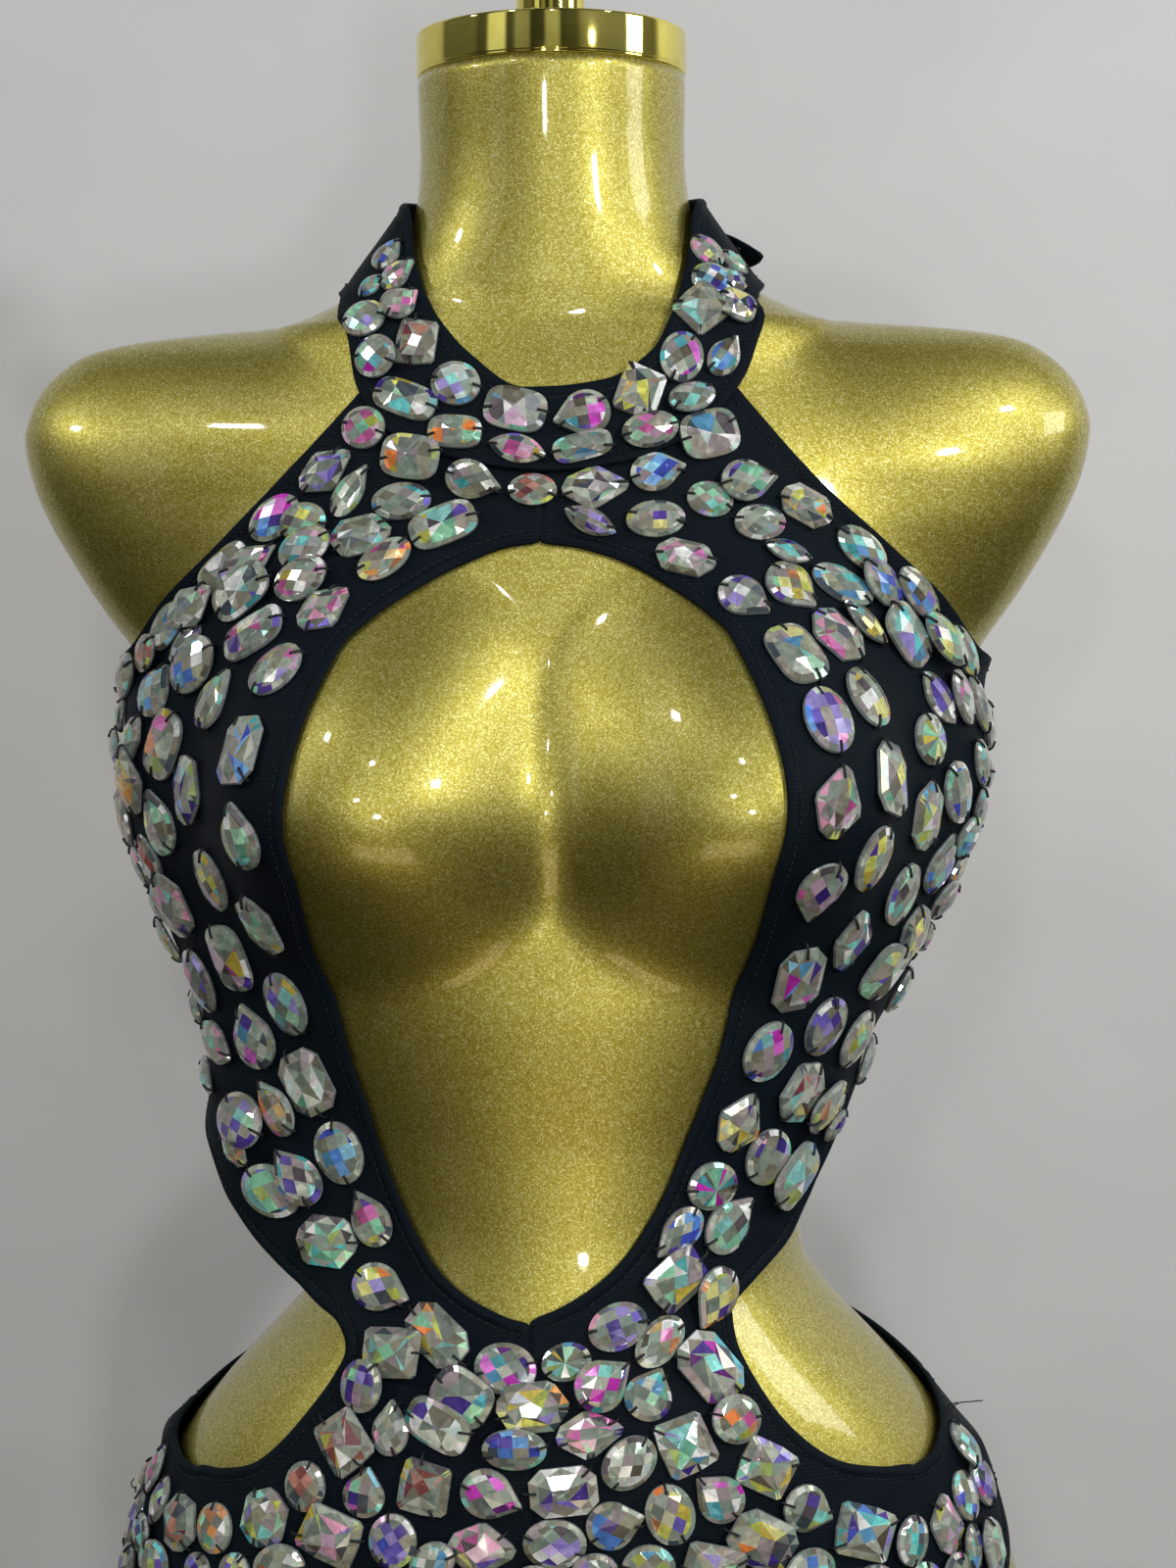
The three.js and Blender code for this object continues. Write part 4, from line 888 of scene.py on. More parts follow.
def knit(name, shift=0.0):
    m, nt, p = new_material(name)
    co = coords(nt)
    uv = coords(nt, "UV")
    sep = nt.nodes.new("ShaderNodeSeparateXYZ")
    nt.links.new(uv, sep.inputs[0])
    rows = math_node(nt, "SINE", math_node(nt, "MULTIPLY", sep.outputs["Y"], 2 * math.pi / 0.0014))
    wales = math_node(nt, "SINE", math_node(nt, "MULTIPLY", sep.outputs["X"], 2 * math.pi / 0.0009))
    grain, _ = noise(nt, co, 1400, 2, 0.6)
    patch, _ = noise(nt, co, 14, 1)
    broad, _ = noise(nt, co, 5.5, 1)
    ribs = math_node(nt, "ADD", math_node(nt, "MULTIPLY", rows, 0.5), math_node(nt, "MULTIPLY", wales, 0.22))
    lift = math_node(nt, "ADD", math_node(nt, "MULTIPLY", ribs, 0.5), math_node(nt, "MULTIPLY", grain, 0.9))
    # The knit's colour is a shaded and a lit copy of its navy, each drifting at random in tone, blended by the rib
    # height: painted highlight on the rib crests, painted shade in the troughs.
    tone_and_trough_shade = ramp(
        nt,
        broad,
        [(0.30, (0.0016, 0.0040, 0.0090)), (0.5, (0.0024, 0.0052, 0.0090)), (0.72, (0.0022, 0.0066, 0.0078))],
    )
    tone_and_crest_highlight = ramp(nt, patch, [(0.3, (0.0055, 0.0105, 0.0190)), (0.7, (0.0085, 0.0150, 0.0215))])
    fac = math_node(nt, "ADD", math_node(nt, "MULTIPLY", ribs, 0.35), 0.42, clamp=True)
    nt.links.new(blend(nt, fac, tone_and_trough_shade, tone_and_crest_highlight), p.inputs["Base Color"])
    rough = math_node(nt, "ADD", math_node(nt, "MULTIPLY", patch, 0.2), 0.5)
    nt.links.new(rough, p.inputs["Roughness"])
    nt.links.new(bump(nt, lift, 0.55, 0.00022), p.inputs["Normal"])
    p.inputs["Sheen Weight"].default_value = 0.012
    p.inputs["Sheen Roughness"].default_value = 0.45
    p.inputs["Sheen Tint"].default_value = (0.45, 0.62, 0.8, 1)
    p.inputs["Specular IOR Level"].default_value = 0.07
    return m


def crystal():
    m, nt, p = new_material("stone")
    att = nt.nodes.new("ShaderNodeAttribute")
    att.attribute_name = "tint"
    uv = coords(nt, "UV")
    cells = voronoi(nt, uv, 420)
    sep = nt.nodes.new("ShaderNodeSeparateColor")
    nt.links.new(cells.outputs["Color"], sep.inputs["Color"])
    fine = voronoi(nt, uv, 900)
    sep2 = nt.nodes.new("ShaderNodeSeparateColor")
    nt.links.new(fine.outputs["Color"], sep2.inputs["Color"])
    # Small cells on each stone are painted darker or brighter at random, the brightest past white: painted sparkle and
    # shade over the facet tints.
    cell_sparkle_and_shade = ramp(nt, sep.outputs["Red"], [(0.0, (0.72, 0.74, 0.75)), (0.5, (1.0, 1.0, 1.0)), (0.86, (1.12, 1.12, 1.10)), (1.0, (1.5, 1.5, 1.5))])
    col = blend(nt, 0.85, att.outputs["Color"], cell_sparkle_and_shade, "MULTIPLY")
    hue = ramp(nt, sep2.outputs["Green"], [(0.0, (1.0, 0.86, 0.97)), (0.35, (1, 1, 1)), (0.65, (1, 1, 1)), (1.0, (0.84, 1.0, 0.95))])
    col = blend(nt, 0.8, col, hue, "MULTIPLY")
    nt.links.new(col, p.inputs["Base Color"])
    p.inputs["Metallic"].default_value = 0.12
    rough = math_node(nt, "ADD", math_node(nt, "MULTIPLY", sep.outputs["Blue"], 0.10), 0.08)
    nt.links.new(rough, p.inputs["Roughness"])
    nt.links.new(bump(nt, sep.outputs["Green"], 0.12, 0.0004), p.inputs["Normal"])
    p.inputs["Coat Weight"].default_value = 0.6
    p.inputs["Coat Roughness"].default_value = 0.03
    p.inputs["IOR"].default_value = 1.6
    return m


def thread():
    m, nt, p = new_material("thread")
    co = coords(nt)
    n, _ = noise(nt, co, 2200, 2)
    nt.links.new(ramp(nt, n, [(0.3, (0.0025, 0.003, 0.0045)), (0.7, (0.012, 0.014, 0.019))]), p.inputs["Base Color"])
    nt.links.new(math_node(nt, "ADD", math_node(nt, "MULTIPLY", n, 0.3), 0.5), p.inputs["Roughness"])
    nt.links.new(bump(nt, n, 0.5, 0.0001), p.inputs["Normal"])
    return m


MAT_FORM = gold_flake()
MAT_GOLD = polished_gold()
MAT_KNIT = knit("knit")
MAT_STONE = crystal()
MAT_THREAD = thread()

# ------------------------------------------------------------------ the form
def build_form():
    cols = 240
    u = np.arange(cols) / cols * 2 * math.pi
    deg = np.degrees(u + 0.45 * np.sin(2 * u) / 2)
    rows = []
    rim = rim_height(deg)
    for t in (90, 75, 60, 45, 30, 15):
        r = form_radius(deg, rim + BASE_ROUND)
        rows.append(
            at(deg, r - BASE_ROUND * (1 - math.cos(math.radians(t))), rim + BASE_ROUND * (1 - math.sin(math.radians(t))))
        )
    for k in range(20):
        z = mix(rim + BASE_ROUND, 150, k / 20)
        rows.append(at(deg, form_radius(deg, z), z))
    levels = [150.0]
    for to, step in ((400, 7), (505, 4), (566, 3), (630, 4), (642, 1.5), (656, 0.5), (664, 1), (690, 2.5), (NECK_TOP, 4)):
        n = max(1, round((to - levels[-1]) / step))
        levels += list(np.linspace(levels[-1], to, n + 1)[1:])
    for z in levels:
        z = np.full(cols, z)
        rows.append(at(deg, form_radius(deg, z), z))
    pts = np.concatenate(rows)
    nr = len(rows)
    faces = []
    for i in range(nr - 1):
        a = i * cols + np.arange(cols)
        b = i * cols + (np.arange(cols) + 1) % cols
        faces += list(zip(a, b, b + cols, a + cols))
    pts = list(map(tuple, pts))
    quarter, along = cols // 4, 24
    under = []
    for j in range(-quarter, quarter + 1):
        f, k = (j + cols) % cols, (2 * quarter - j + cols) % cols
        line = [f]
        if f != k:
            for i in range(1, along):
                x = mix(pts[f][0], pts[k][0], i / along)
                y = mix(pts[f][1], pts[k][1], i / along)
                pts.append((x, y, float(channel(x, y))))
                line.append(len(pts) - 1)
            line.append(k)
        under.append(line)
    for p, q in zip(under[:-1], under[1:]):
        for i in range(along):
            c = [
                p[min(i, len(p) - 1)],
                p[min(i + 1, len(p) - 1)],
                q[min(i + 1, len(q) - 1)],
                q[min(i, len(q) - 1)],
            ]
            c = [v for n, v in enumerate(c) if v not in c[:n]]
            if len(c) > 2:
                faces.append(tuple(c))
    top = (nr - 1) * cols
    faces.append(tuple(top + k for k in range(cols)))
    ob = mesh_object("form", pts, faces, MAT_FORM)
    return ob


form = build_form()
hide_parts("form_body")
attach(form, "root")


def turned(name, outline, around, material):
    pts, faces = [], []
    for r, z in outline:
        for k in range(around):
            pts.append(at(k / around * 360, r, z))
    for i in range(len(outline) - 1):
        for k in range(around):
            a, b = i * around + k, i * around + (k + 1) % around
            faces.append((a, b, b + around, a + around))
    faces.append(tuple(range(around))[::-1])
    faces.append(tuple((len(outline) - 1) * around + k for k in range(around)))
    return mesh_object(name, pts, faces, material)


def rounded(points, radius, steps=5):
    """An outline with its corners rounded."""
    out = []
    for i, p in enumerate(points):
        p = np.array(p, float)
        if i in (0, len(points) - 1):
            out.append(tuple(p))
            continue
        a, b = np.array(points[i - 1], float) - p, np.array(points[i + 1], float) - p
        la, lb = np.linalg.norm(a), np.linalg.norm(b)
        d = min(radius, la * 0.49, lb * 0.49)
        a, b = p + a / la * d, p + b / lb * d
        for k in range(steps + 1):
            t = k / steps
            out.append(tuple((1 - t) ** 2 * a + 2 * t * (1 - t) * p + t * t * b))
    return out


cap_top = CAP_BASE + CAP_HEIGHT
cap = turned(
    "neck_ring",
    rounded(
        [
            (CAP_RADIUS - 3, CAP_BASE),
            (CAP_RADIUS - 0.3, CAP_BASE),
            (CAP_RADIUS - 0.3, CAP_BASE + 1.1),
            (CAP_RADIUS, CAP_BASE + 1.3),
            (CAP_RADIUS, cap_top),
            (2.0, cap_top),
        ],
        1.1,
    ),
    160,
    MAT_GOLD,
)
post = turned(
    "post",
    rounded(
        [
            (2, cap_top + SEAM),
            (POST_RADIUS, cap_top + SEAM),
            (POST_RADIUS, cap_top + POST_HEIGHT),
            (2, cap_top + POST_HEIGHT),
        ],
        3.5,
        8,
    ),
    96,
    MAT_GOLD,
)
for ob, cad in ((cap, "neck_cap"), (post, "neck_post")):
    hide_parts(cad)
    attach(ob, "root")


# ------------------------------------------------------------------ the cloth
def spread(n, share=0.75):
    """n + 1 places from 0 to 1, closer together towards both ends."""
    t = np.arange(n + 1) / n
    return share * (0.5 - 0.5 * np.cos(math.pi * t)) + (1 - share) * t


def dense(points, step=0.6):
    """A line of points with others between them, step apart."""
    points = np.asarray(points, float)
    out = []
    for a, b in zip(points[:-1], points[1:]):
        n = max(1, int(np.linalg.norm(b - a) / step))
        out += [mix(a, b, k / n) for k in range(n)]
    out.append(points[-1])
    return out


def tree_of(points):
    t = KDTree(max(1, len(points)))
    for i, p in enumerate(points):
        t.insert(Vector(p), i)
    t.balance()
    return t


SHELLS = {}
HEM_LINES = {}  # piece -> list of (kind, line of outer points, normals)


def hem_rise(d, kind):
    """Rise of the cloth's outside at a distance from its edge."""
    if kind == "roll":  # a turned edge, rolled, with a sunk line inside it
        return (
            0.75 * np.exp(-(((d - 1.9) / 1.55) ** 2))
            - 0.50 * np.exp(-(((d - 4.1) / 0.5) ** 2))
            + 0.15 * np.exp(-(((d - 5.4) / 0.9) ** 2))
        )
    if kind == "turned":  # a turned hem, stitched down
        return 0.38 * (1 - smooth((d - 3.2) / 0.8)) - 0.32 * np.exp(-(((d - 3.9) / 0.45) ** 2))
    return -0.45 * np.exp(-((d / 0.9) ** 2)) + 0.22 * np.exp(-(((d - 2.2) / 1.1) ** 2))  # a seam


def cloth_shell(name, cad, radius, deg, z, hems, trims=None):
    """A shell from grids of angle and height; NaN cells are open.
    hems: (kind, [(row, col), ...]) lines on the grid, along which the edge is shaped."""
    ok = ~np.isnan(deg)
    dg, zz = np.where(ok, deg, 0), np.where(ok, z, 300)
    inner = at(dg, radius(dg, zz), zz)
    nrm = normal_of(radius, dg, zz)
    outer = inner + nrm * CLOTH
    # hems and seams
    rise = np.zeros(dg.shape)
    lines = []
    flatp = outer.reshape(-1, 3)
    for kind, cells in hems:
        line = [outer[i, j] for i, j in cells]
        tree = tree_of(dense(line))
        lines.append((kind, np.array(line), np.array([nrm[i, j] for i, j in cells])))
        d = np.array([tree.find(Vector(p))[2] for p in flatp]).reshape(dg.shape)
        wob = 1 + 0.16 * np.sin(flatp[:, 2].reshape(dg.shape) * 0.31) * np.sin(flatp[:, 0].reshape(dg.shape) * 0.23 + 1)
        rise += np.where(d < 9, hem_rise(d * wob, kind), 0)
    # creases
    for piece, a0, z0, a1, z1, up, half in CREASES:
        if piece != name:
            continue
        if piece.startswith("back") and a0 > 0:
            a0, a1 = a0 - 360, a1 - 360
        p0 = at(a0, radius(np.array(a0), np.array(z0)), z0)
        p1 = at(a1, radius(np.array(a1), np.array(z1)), z1)
        v = p1 - p0
        t = np.clip(((inner - p0) @ v) / (v @ v), 0, 1)
        foot = p0 + t[..., None] * v
        away = inner - foot
        away = away - (away * nrm).sum(-1, keepdims=True) * nrm
        dist = np.linalg.norm(away, axis=-1)
        taper = np.sin(np.pi * np.clip(t, 0.02, 0.98)) ** 0.6
        rise += up * taper * np.exp(-((dist / half) ** 2))
    # broad, soft unevenness
    x, y, h = outer[..., 0], outer[..., 1], outer[..., 2]
    rise += 0.10 * np.sin(x * 0.11 + h * 0.07) * np.sin(h * 0.13 - y * 0.09 + 1.7)
    rise = np.maximum(rise, -0.62)
    outer = outer + nrm * rise[..., None]
    # mesh
    ids = np.full(dg.shape, -1)
    keep = np.argwhere(ok)
    pts = []
    for n, (i, j) in enumerate(keep):
        ids[i, j] = 2 * n
        pts += [inner[i, j], outer[i, j]]
    faces, edges = [], {}
    R, C = dg.shape
    for i in range(R - 1):
        for j in range(C - 1):
            q = [ids[i, j], ids[i, j + 1], ids[i + 1, j + 1], ids[i + 1, j]]
            if min(q) < 0:
                continue
            a, b, c, d = q
            faces += [(a, b, c, d), (d + 1, c + 1, b + 1, a + 1)]
            for k in range(4):
                e = (q[k], q[(k + 1) % 4])
                if (e[1], e[0]) in edges:
                    del edges[(e[1], e[0])]
                else:
                    edges[e] = True
    # the free edges, rounded outwards
    pts = np.array(pts)
    grid_n = {int(ids[i, j]): nrm[i, j] for i, j in keep}
    push = {}
    for a, b in edges:
        v = pts[b] - pts[a]
        out = np.cross(v, grid_n[a])
        out /= np.linalg.norm(out) + 1e-9
        for k in (a, b):
            push[k] = push.get(k, 0) + out
    extra, mid = [], {}
    sign = None
    for a, b in edges:  # which way is out of the cloth: away from the neighbour inside
        pass
    centre = {}
    for f in faces[::2]:
        m = pts[list(f)].mean(0)
        for k in range(4):
            e = (f[k], f[(k + 1) % 4])
            if e in edges:
                centre[e] = m
    tests = [np.dot(push[a], pts[a] - centre[(a, b)]) for a, b in edges if (a, b) in centre]
    sign = 1 if np.median(tests) > 0 else -1
    for k, v in push.items():
        v = v / (np.linalg.norm(v) + 1e-9) * sign
        mid[k] = len(pts) + len(extra)
        extra.append((pts[k] + pts[k + 1]) / 2 + v * 0.45)
    for a, b in edges:
        faces += [(a, mid[a], mid[b], b), (mid[a], a + 1, b + 1, mid[b])]
    pts = np.vstack([pts, extra]) if extra else pts
    ang = np.degrees(np.arctan2(pts[:, 0], -pts[:, 1]))
    if piece_is_back(name):
        ang = np.where(ang > 0, ang - 360, ang)
    uv = np.stack([np.radians(ang) * 0.105, pts[:, 2] / 1000], -1)
    # faces point outwards
    f = faces[1]
    v = np.cross(pts[f[1]] - pts[f[0]], pts[f[2]] - pts[f[1]])
    if np.dot(v, grid_n[int(f[0] - 1)]) < 0:
        faces = [t[::-1] for t in faces]
    ob = mesh_object(name + "_cloth", pts, faces, MAT_KNIT, uv=uv)
    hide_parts(cad)
    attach(ob, "root")
    HEM_LINES[name] = lines
    SHELLS[name] = (outer, ok, nrm, dg, zz)
    return ob, outer, ok, nrm


def piece_is_back(name):
    return name.startswith("back")


def front_grid(table, across, strap_across, finer):
    rows = [(i, *r) for i, r in enumerate(table)]
    cols = [curve(rows, 0, c) for c in (1, 2, 3, 4)]
    strapped = [r for r in rows if not math.isnan(r[5])]
    strap = curve(strapped, 0, 5)
    first, last = strapped[0][0], strapped[-1][0]
    side = math.copysign(1, table[0][2])
    ts = []
    for i, row in enumerate(table):
        if i == len(table) - 1:
            ts.append(float(i))
        elif first <= i < last:
            continue
        else:
            n = max(1, row[5]) * finer
            ts += [i + k / n for k in range(n)]
    ts = sorted(ts + list(first + (last - first) * spread(44, 0.8)[:-1]))
    ts = np.array(ts)
    u = np.concatenate([spread(across)])
    deg = np.full((len(ts), across + 1 + strap_across), np.nan)
    z = deg.copy()
    ia, iz, oa, oz = (f(ts) for f in cols)
    deg[:, : across + 1] = ia[:, None] + (oa - ia)[:, None] * u
    z[:, : across + 1] = iz[:, None] + (oz - iz)[:, None] * u
    on = (ts >= first - 1e-9) & (ts <= last + 1e-9)
    w = np.arange(1, strap_across + 1) / strap_across
    deg[on, across + 1 :] = (oa[:, None] + (side * SIDE - oa)[:, None] * w)[on]
    z[on, across + 1 :] = (oz[:, None] + (strap(ts) - oz)[:, None] * w)[on]
    # the lower corner of the side cutout is rounded
    k = int(np.argmin(np.abs(ts - first)))
    reach = inner_radius(deg[k, across], z[k, across])
    away = np.hypot(np.radians(deg - deg[k, across]) * reach, z - z[k, across])
    z = z + 3.0 * np.clip(1 - away / 14, 0, 1) ** 1.5
    # centre and side seams leave their gap
    gap = lambda d, h: SEAM / 2 / inner_radius(d, h) * 180 / math.pi
    deg[:, 0] += side * gap(deg[:, 0], z[:, 0])
    deg[:, across] -= side * np.where(np.abs(np.abs(oa) - SIDE) < 0.5, gap(deg[:, across], z[:, across]), 0)
    deg[on, -1] -= side * gap(deg[on, -1], z[on, -1])
    return ts, deg, z, across, on


def front_half(name, table):
    ts, deg, z, across, on = front_grid(table, 64, 18, 5)
    R = len(ts)
    hems = []
    line = lambda a, b, col: [(i, col) for i in range(R) if a - 1e-9 <= ts[i] <= b + 1e-9]
    hems.append(("roll", line(2, 17, 0)))
    hems.append(("seam", line(0, 2, 0)))
    hems.append(("seam", line(17, 26, 0)))
    hems.append(("turned", line(0, 6, across)))
    hems.append(("seam", line(6, 11, across)))
    top = [i for i in range(R) if abs(ts[i] - 20) < 1e-6][0]
    low = [i for i in range(R) if abs(ts[i] - 22) < 1e-6][0]
    last = deg.shape[1] - 1
    hems.append(("roll", line(11, 20, across) + [(top, j) for j in range(across + 1, last + 1)]))
    hems.append(("turned", [(low, j) for j in range(last, across, -1)] + line(22, 26, across)))
    hems.append(("seam", [(i, last) for i in range(R) if on[i]]))
    ob, outer, ok, nrm = cloth_shell(name, name, inner_radius, deg, z, hems)
    return ob, outer, ok, nrm, deg, z


front = {}
for name, table in (("front_left", FRONT_LEFT), ("front_right", FRONT_RIGHT)):
    front[name] = front_half(name, table)


def back_piece(name, table, across, down):
    top, foot = curve(table, 0, 1), curve(table, 0, 2)
    a = np.linspace(table[0][0], table[-1][0], across + 1)
    v = spread(down)
    deg = np.repeat(a[None, :], down + 1, 0)
    z = top(a)[None, :] + (foot(a) - top(a))[None, :] * v[:, None]
    gap = SEAM / 2 / inner_radius(deg, z) * 180 / math.pi
    deg[:, 0] -= gap[:, 0]
    deg[:, -1] += gap[:, -1]
    R, C = deg.shape
    hems = [
        ("turned", [(0, j) for j in range(C)]),
        ("turned", [(R - 1, j) for j in range(C)]),
        ("seam", [(i, 0) for i in range(R)]),
        ("seam", [(i, C - 1) for i in range(R)]),
    ]
    return cloth_shell(name, name, inner_radius, deg, z, hems)[0]


band = back_piece("back_band", BACK_BAND, 130, 44)
lower = back_piece("back_lower", BACK_LOWER, 140, 44)


def build_collar():
    a = np.linspace(-179.7, 179.7, 361)
    v = spread(26, 0.7)
    deg = np.repeat(a[None, :], len(v), 0)
    z = collar_in(a)[None, :] + (collar_out(a) - collar_in(a))[None, :] * v[:, None]
    R, C = deg.shape
    hems = [("roll", [(0, j) for j in range(C)]), ("turned", [(R - 1, j) for j in range(C)])]
    return cloth_shell("collar", "collar", collar_radius, deg, z, hems)[0]


collar = build_collar()


def build_tab():
    keys = [(i, *r) for i, r in enumerate(TAB)]
    cols = [curve(keys, 0, c) for c in (1, 2, 3, 4)]
    k = np.linspace(0, len(TAB) - 1, 90)
    ang, midz, half, off = (f(k) for f in cols)
    s = spread(12, 0.6) * 2 - 1
    deg = np.repeat(ang[:, None], len(s), 1)
    z = midz[:, None] + half[:, None] * s
    off = off * 0.6

    def lift(d, h):
        o = np.interp(np.mod(np.asarray(d, float), 360), ang[::-1], off[::-1])
        return collar_radius(d, h) + CLOTH + LAP + o

    R, C = deg.shape
    edge = [(i, 0) for i in range(R)] + [(R - 1, j) for j in range(1, C)] + [(i, C - 1) for i in range(R - 1, -1, -1)]
    return cloth_shell("neck_tab", "neck_tab", lift, deg, z, [("turned", edge)])[0]


tab = build_tab()


def gusset_path(x):
    """The form's surface along the gusset, for many x at once: a list of (y, z) arrays."""

    def wall_point(back, z):
        deg = 0.0 * x
        for _ in range(10):
            r = form_radius(180 - deg if back else deg, z)
            deg = np.degrees(np.arcsin(x / r))
        d = 180 - deg if back else deg
        return at(d, form_radius(d, z), z)[..., 1]

    def rim(back):
        z = CROTCH_HEIGHT + 0.0 * x
        for _ in range(30):
            y = wall_point(back, z + BASE_ROUND) + (-1 if back else 1) * BASE_ROUND
            z = mix(z, channel(x, y), 0.6)
        return z

    R = BASE_ROUND
    zf, zb = rim(False), rim(True)
    yf, yb = wall_point(False, zf + R), wall_point(True, zb + R)
    tf, tb = 100 - SEAM, 112 - SEAM
    out = []
    for k in (0, 0.25, 0.5, 0.75):
        h = mix(tf, zf + R, k)
        out.append((wall_point(False, h), h))
    for t in (0, 15, 30, 45, 60, 75):
        a = math.radians(t)
        out.append((yf + R - R * math.cos(a), zf + R - R * math.sin(a)))
    for k in range(25):
        y = mix(yf + R, yb - R, k / 24)
        out.append((y, channel(x, y)))
    for t in (75, 60, 45, 30, 15, 0):
        a = math.radians(t)
        out.append((yb - R + R * math.cos(a), zb + R - R * math.sin(a)))
    for k in (0.75, 0.5, 0.25, 0):
        h = mix(tb, zb + R, k)
        out.append((wall_point(True, h), h))
    return out


def build_gusset():
    half = curve(GUSSET, 0, 1)
    n = len(gusset_path(np.zeros(1)))
    across = 16
    inner, outer = [], []
    s = spread(across, 0.6) * 2 - 1
    widths = half(np.arange(n) / (n - 1))
    for j in range(across + 1):
        col_i, col_o = [], []
        paths = gusset_path(widths * s[j])
        paths = [(float((y + 0 * widths)[i]), float((h + 0 * widths)[i])) for i, (y, h) in enumerate(paths)]
        for i in range(n):
            x = float(widths[i] * s[j])
            p, a, b = paths[i], paths[max(0, i - 1)], paths[min(n - 1, i + 1)]
            l = math.hypot(b[0] - a[0], b[1] - a[1])
            nn = ((b[1] - a[1]) / l, -(b[0] - a[0]) / l)
            air = EASE + 0.5 * float(smooth(min(i, n - 1 - i) / 8))
            d = float(half(i / (n - 1))) * (1 - abs(s[j]))
            rise = float(hem_rise(np.array(d), "turned")) if 3 < i < n - 4 else 0.0
            rise += 0.12 * math.sin(i * 0.6 + s[j] * 2)
            col_i.append((x, p[0] + nn[0] * air, p[1] + nn[1] * air))
            w = air + CLOTH + rise
            col_o.append((x, p[0] + nn[0] * w, p[1] + nn[1] * w))
        inner.append(col_i)
        outer.append(col_o)
    pts, faces, uv = [], [], []
    idx = lambda j, i, o: (j * n + i) * 2 + o
    for j in range(across + 1):
        run = 0.0
        for i in range(n):
            if i:
                run += math.dist(inner[j][i], inner[j][i - 1])
            pts += [inner[j][i], outer[j][i]]
            uv += [(inner[j][i][0] / 1000, run / 1000)] * 2
    for j in range(across):
        for i in range(n - 1):
            a, b, c, d = (idx(j, i, 0), idx(j + 1, i, 0), idx(j + 1, i + 1, 0), idx(j, i + 1, 0))
            faces += [(a, b, c, d), (d + 1, c + 1, b + 1, a + 1)]
    for j in range(across):
        faces.append((idx(j, 0, 1), idx(j + 1, 0, 1), idx(j + 1, 0, 0), idx(j, 0, 0)))
        faces.append((idx(j, n - 1, 0), idx(j + 1, n - 1, 0), idx(j + 1, n - 1, 1), idx(j, n - 1, 1)))
    for i in range(n - 1):
        faces.append((idx(0, i, 0), idx(0, i + 1, 0), idx(0, i + 1, 1), idx(0, i, 1)))
        faces.append((idx(across, i, 1), idx(across, i + 1, 1), idx(across, i + 1, 0), idx(across, i, 0)))
    ob = mesh_object("gusset_cloth", pts, faces, MAT_KNIT, uv=uv)
    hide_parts("gusset")
    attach(ob, "root")
    return ob


gusset = build_gusset()


# ------------------------------------------------------------------ stones
def outline_of(cut):
    t = np.linspace(0, 2 * math.pi, 28, endpoint=False)
    if cut in ("oval", "round", "fan"):
        return np.stack([np.cos(t), np.sin(t)], -1)
    if cut == "cushion":
        e = 2 / 3.1
        c, s = np.cos(t), np.sin(t)
        p = np.stack([np.sign(c) * np.abs(c) ** e, np.sign(s) * np.abs(s) ** e], -1)
        return p
    if cut == "navette":
        x = np.concatenate([np.cos(np.linspace(0, math.pi, 14, endpoint=False)), np.cos(np.linspace(math.pi, 2 * math.pi, 14, endpoint=False))])
        y = np.concatenate([np.ones(14), -np.ones(14)]) * (1 - x**2) ** 0.86
        return np.stack([x, y], -1)
    if cut == "drop":
        c, a = 0.18, 0.82
        t0 = math.acos(a / (1 + c))
        u = np.linspace(t0, 2 * math.pi - t0, 22)
        p = np.stack([-c + a * np.cos(u), np.sin(u)], -1)
        tip = np.array([[0.95, -0.10], [1.0, 0.0], [0.95, 0.10]])
        return np.vstack([tip[1:], p, tip[:1]])
    if cut == "octagon":
        return np.array([(1, 0.52), (0.62, 1), (-0.62, 1), (-1, 0.52), (-1, -0.52), (-0.62, -1), (0.62, -1), (1, -0.52)])
    if cut == "square":
        return np.array([(1, 0.76), (0.86, 0.92), (0.2, 1), (-0.8, 0.94), (-0.98, 0.78), (-1, -0.1), (-0.9, -0.86), (-0.74, -1), (0.78, -0.9), (0.92, -0.76)])
    if cut == "hex":
        return np.array([(1, 0.14), (0.62, 0.86), (0.42, 1), (-0.60, 0.92), (-0.96, 0.30), (-1, -0.12), (-0.66, -0.88), (-0.46, -1), (0.58, -0.92), (0.94, -0.22)])
    if cut == "kite":
        return np.array([(1, 0.05), (0.86, 0.30), (0.12, 1), (-0.10, 0.98), (-0.80, 0.55), (-0.98, 0.10), (-0.94, -0.24), (-0.22, -1), (0.06, -0.94), (0.9, -0.24)])
    raise ValueError(cut)


OUTLINES = {c: outline_of(c) for c in ("oval", "round", "fan", "cushion", "navette", "drop", "octagon", "square", "hex", "kite")}
for c, p in OUTLINES.items():  # anticlockwise
    area = 0.5 * np.sum(p[:, 0] * np.roll(p[:, 1], -1) - np.roll(p[:, 0], -1) * p[:, 1])
    if area < 0:
        OUTLINES[c] = p[::-1]


def gauge(outline, x, y):
    """How far out a place is: 0 in the middle, 1 on the outline."""
    a = np.arctan2(outline[:, 1], outline[:, 0])
    o = np.argsort(a)
    a, r = a[o], np.hypot(outline[o, 0], outline[o, 1])
    aa = np.concatenate([a - 2 * math.pi, a, a + 2 * math.pi])
    rr = np.concatenate([r, r, r])
    return np.hypot(x, y) / np.interp(np.arctan2(y, x), aa, rr)


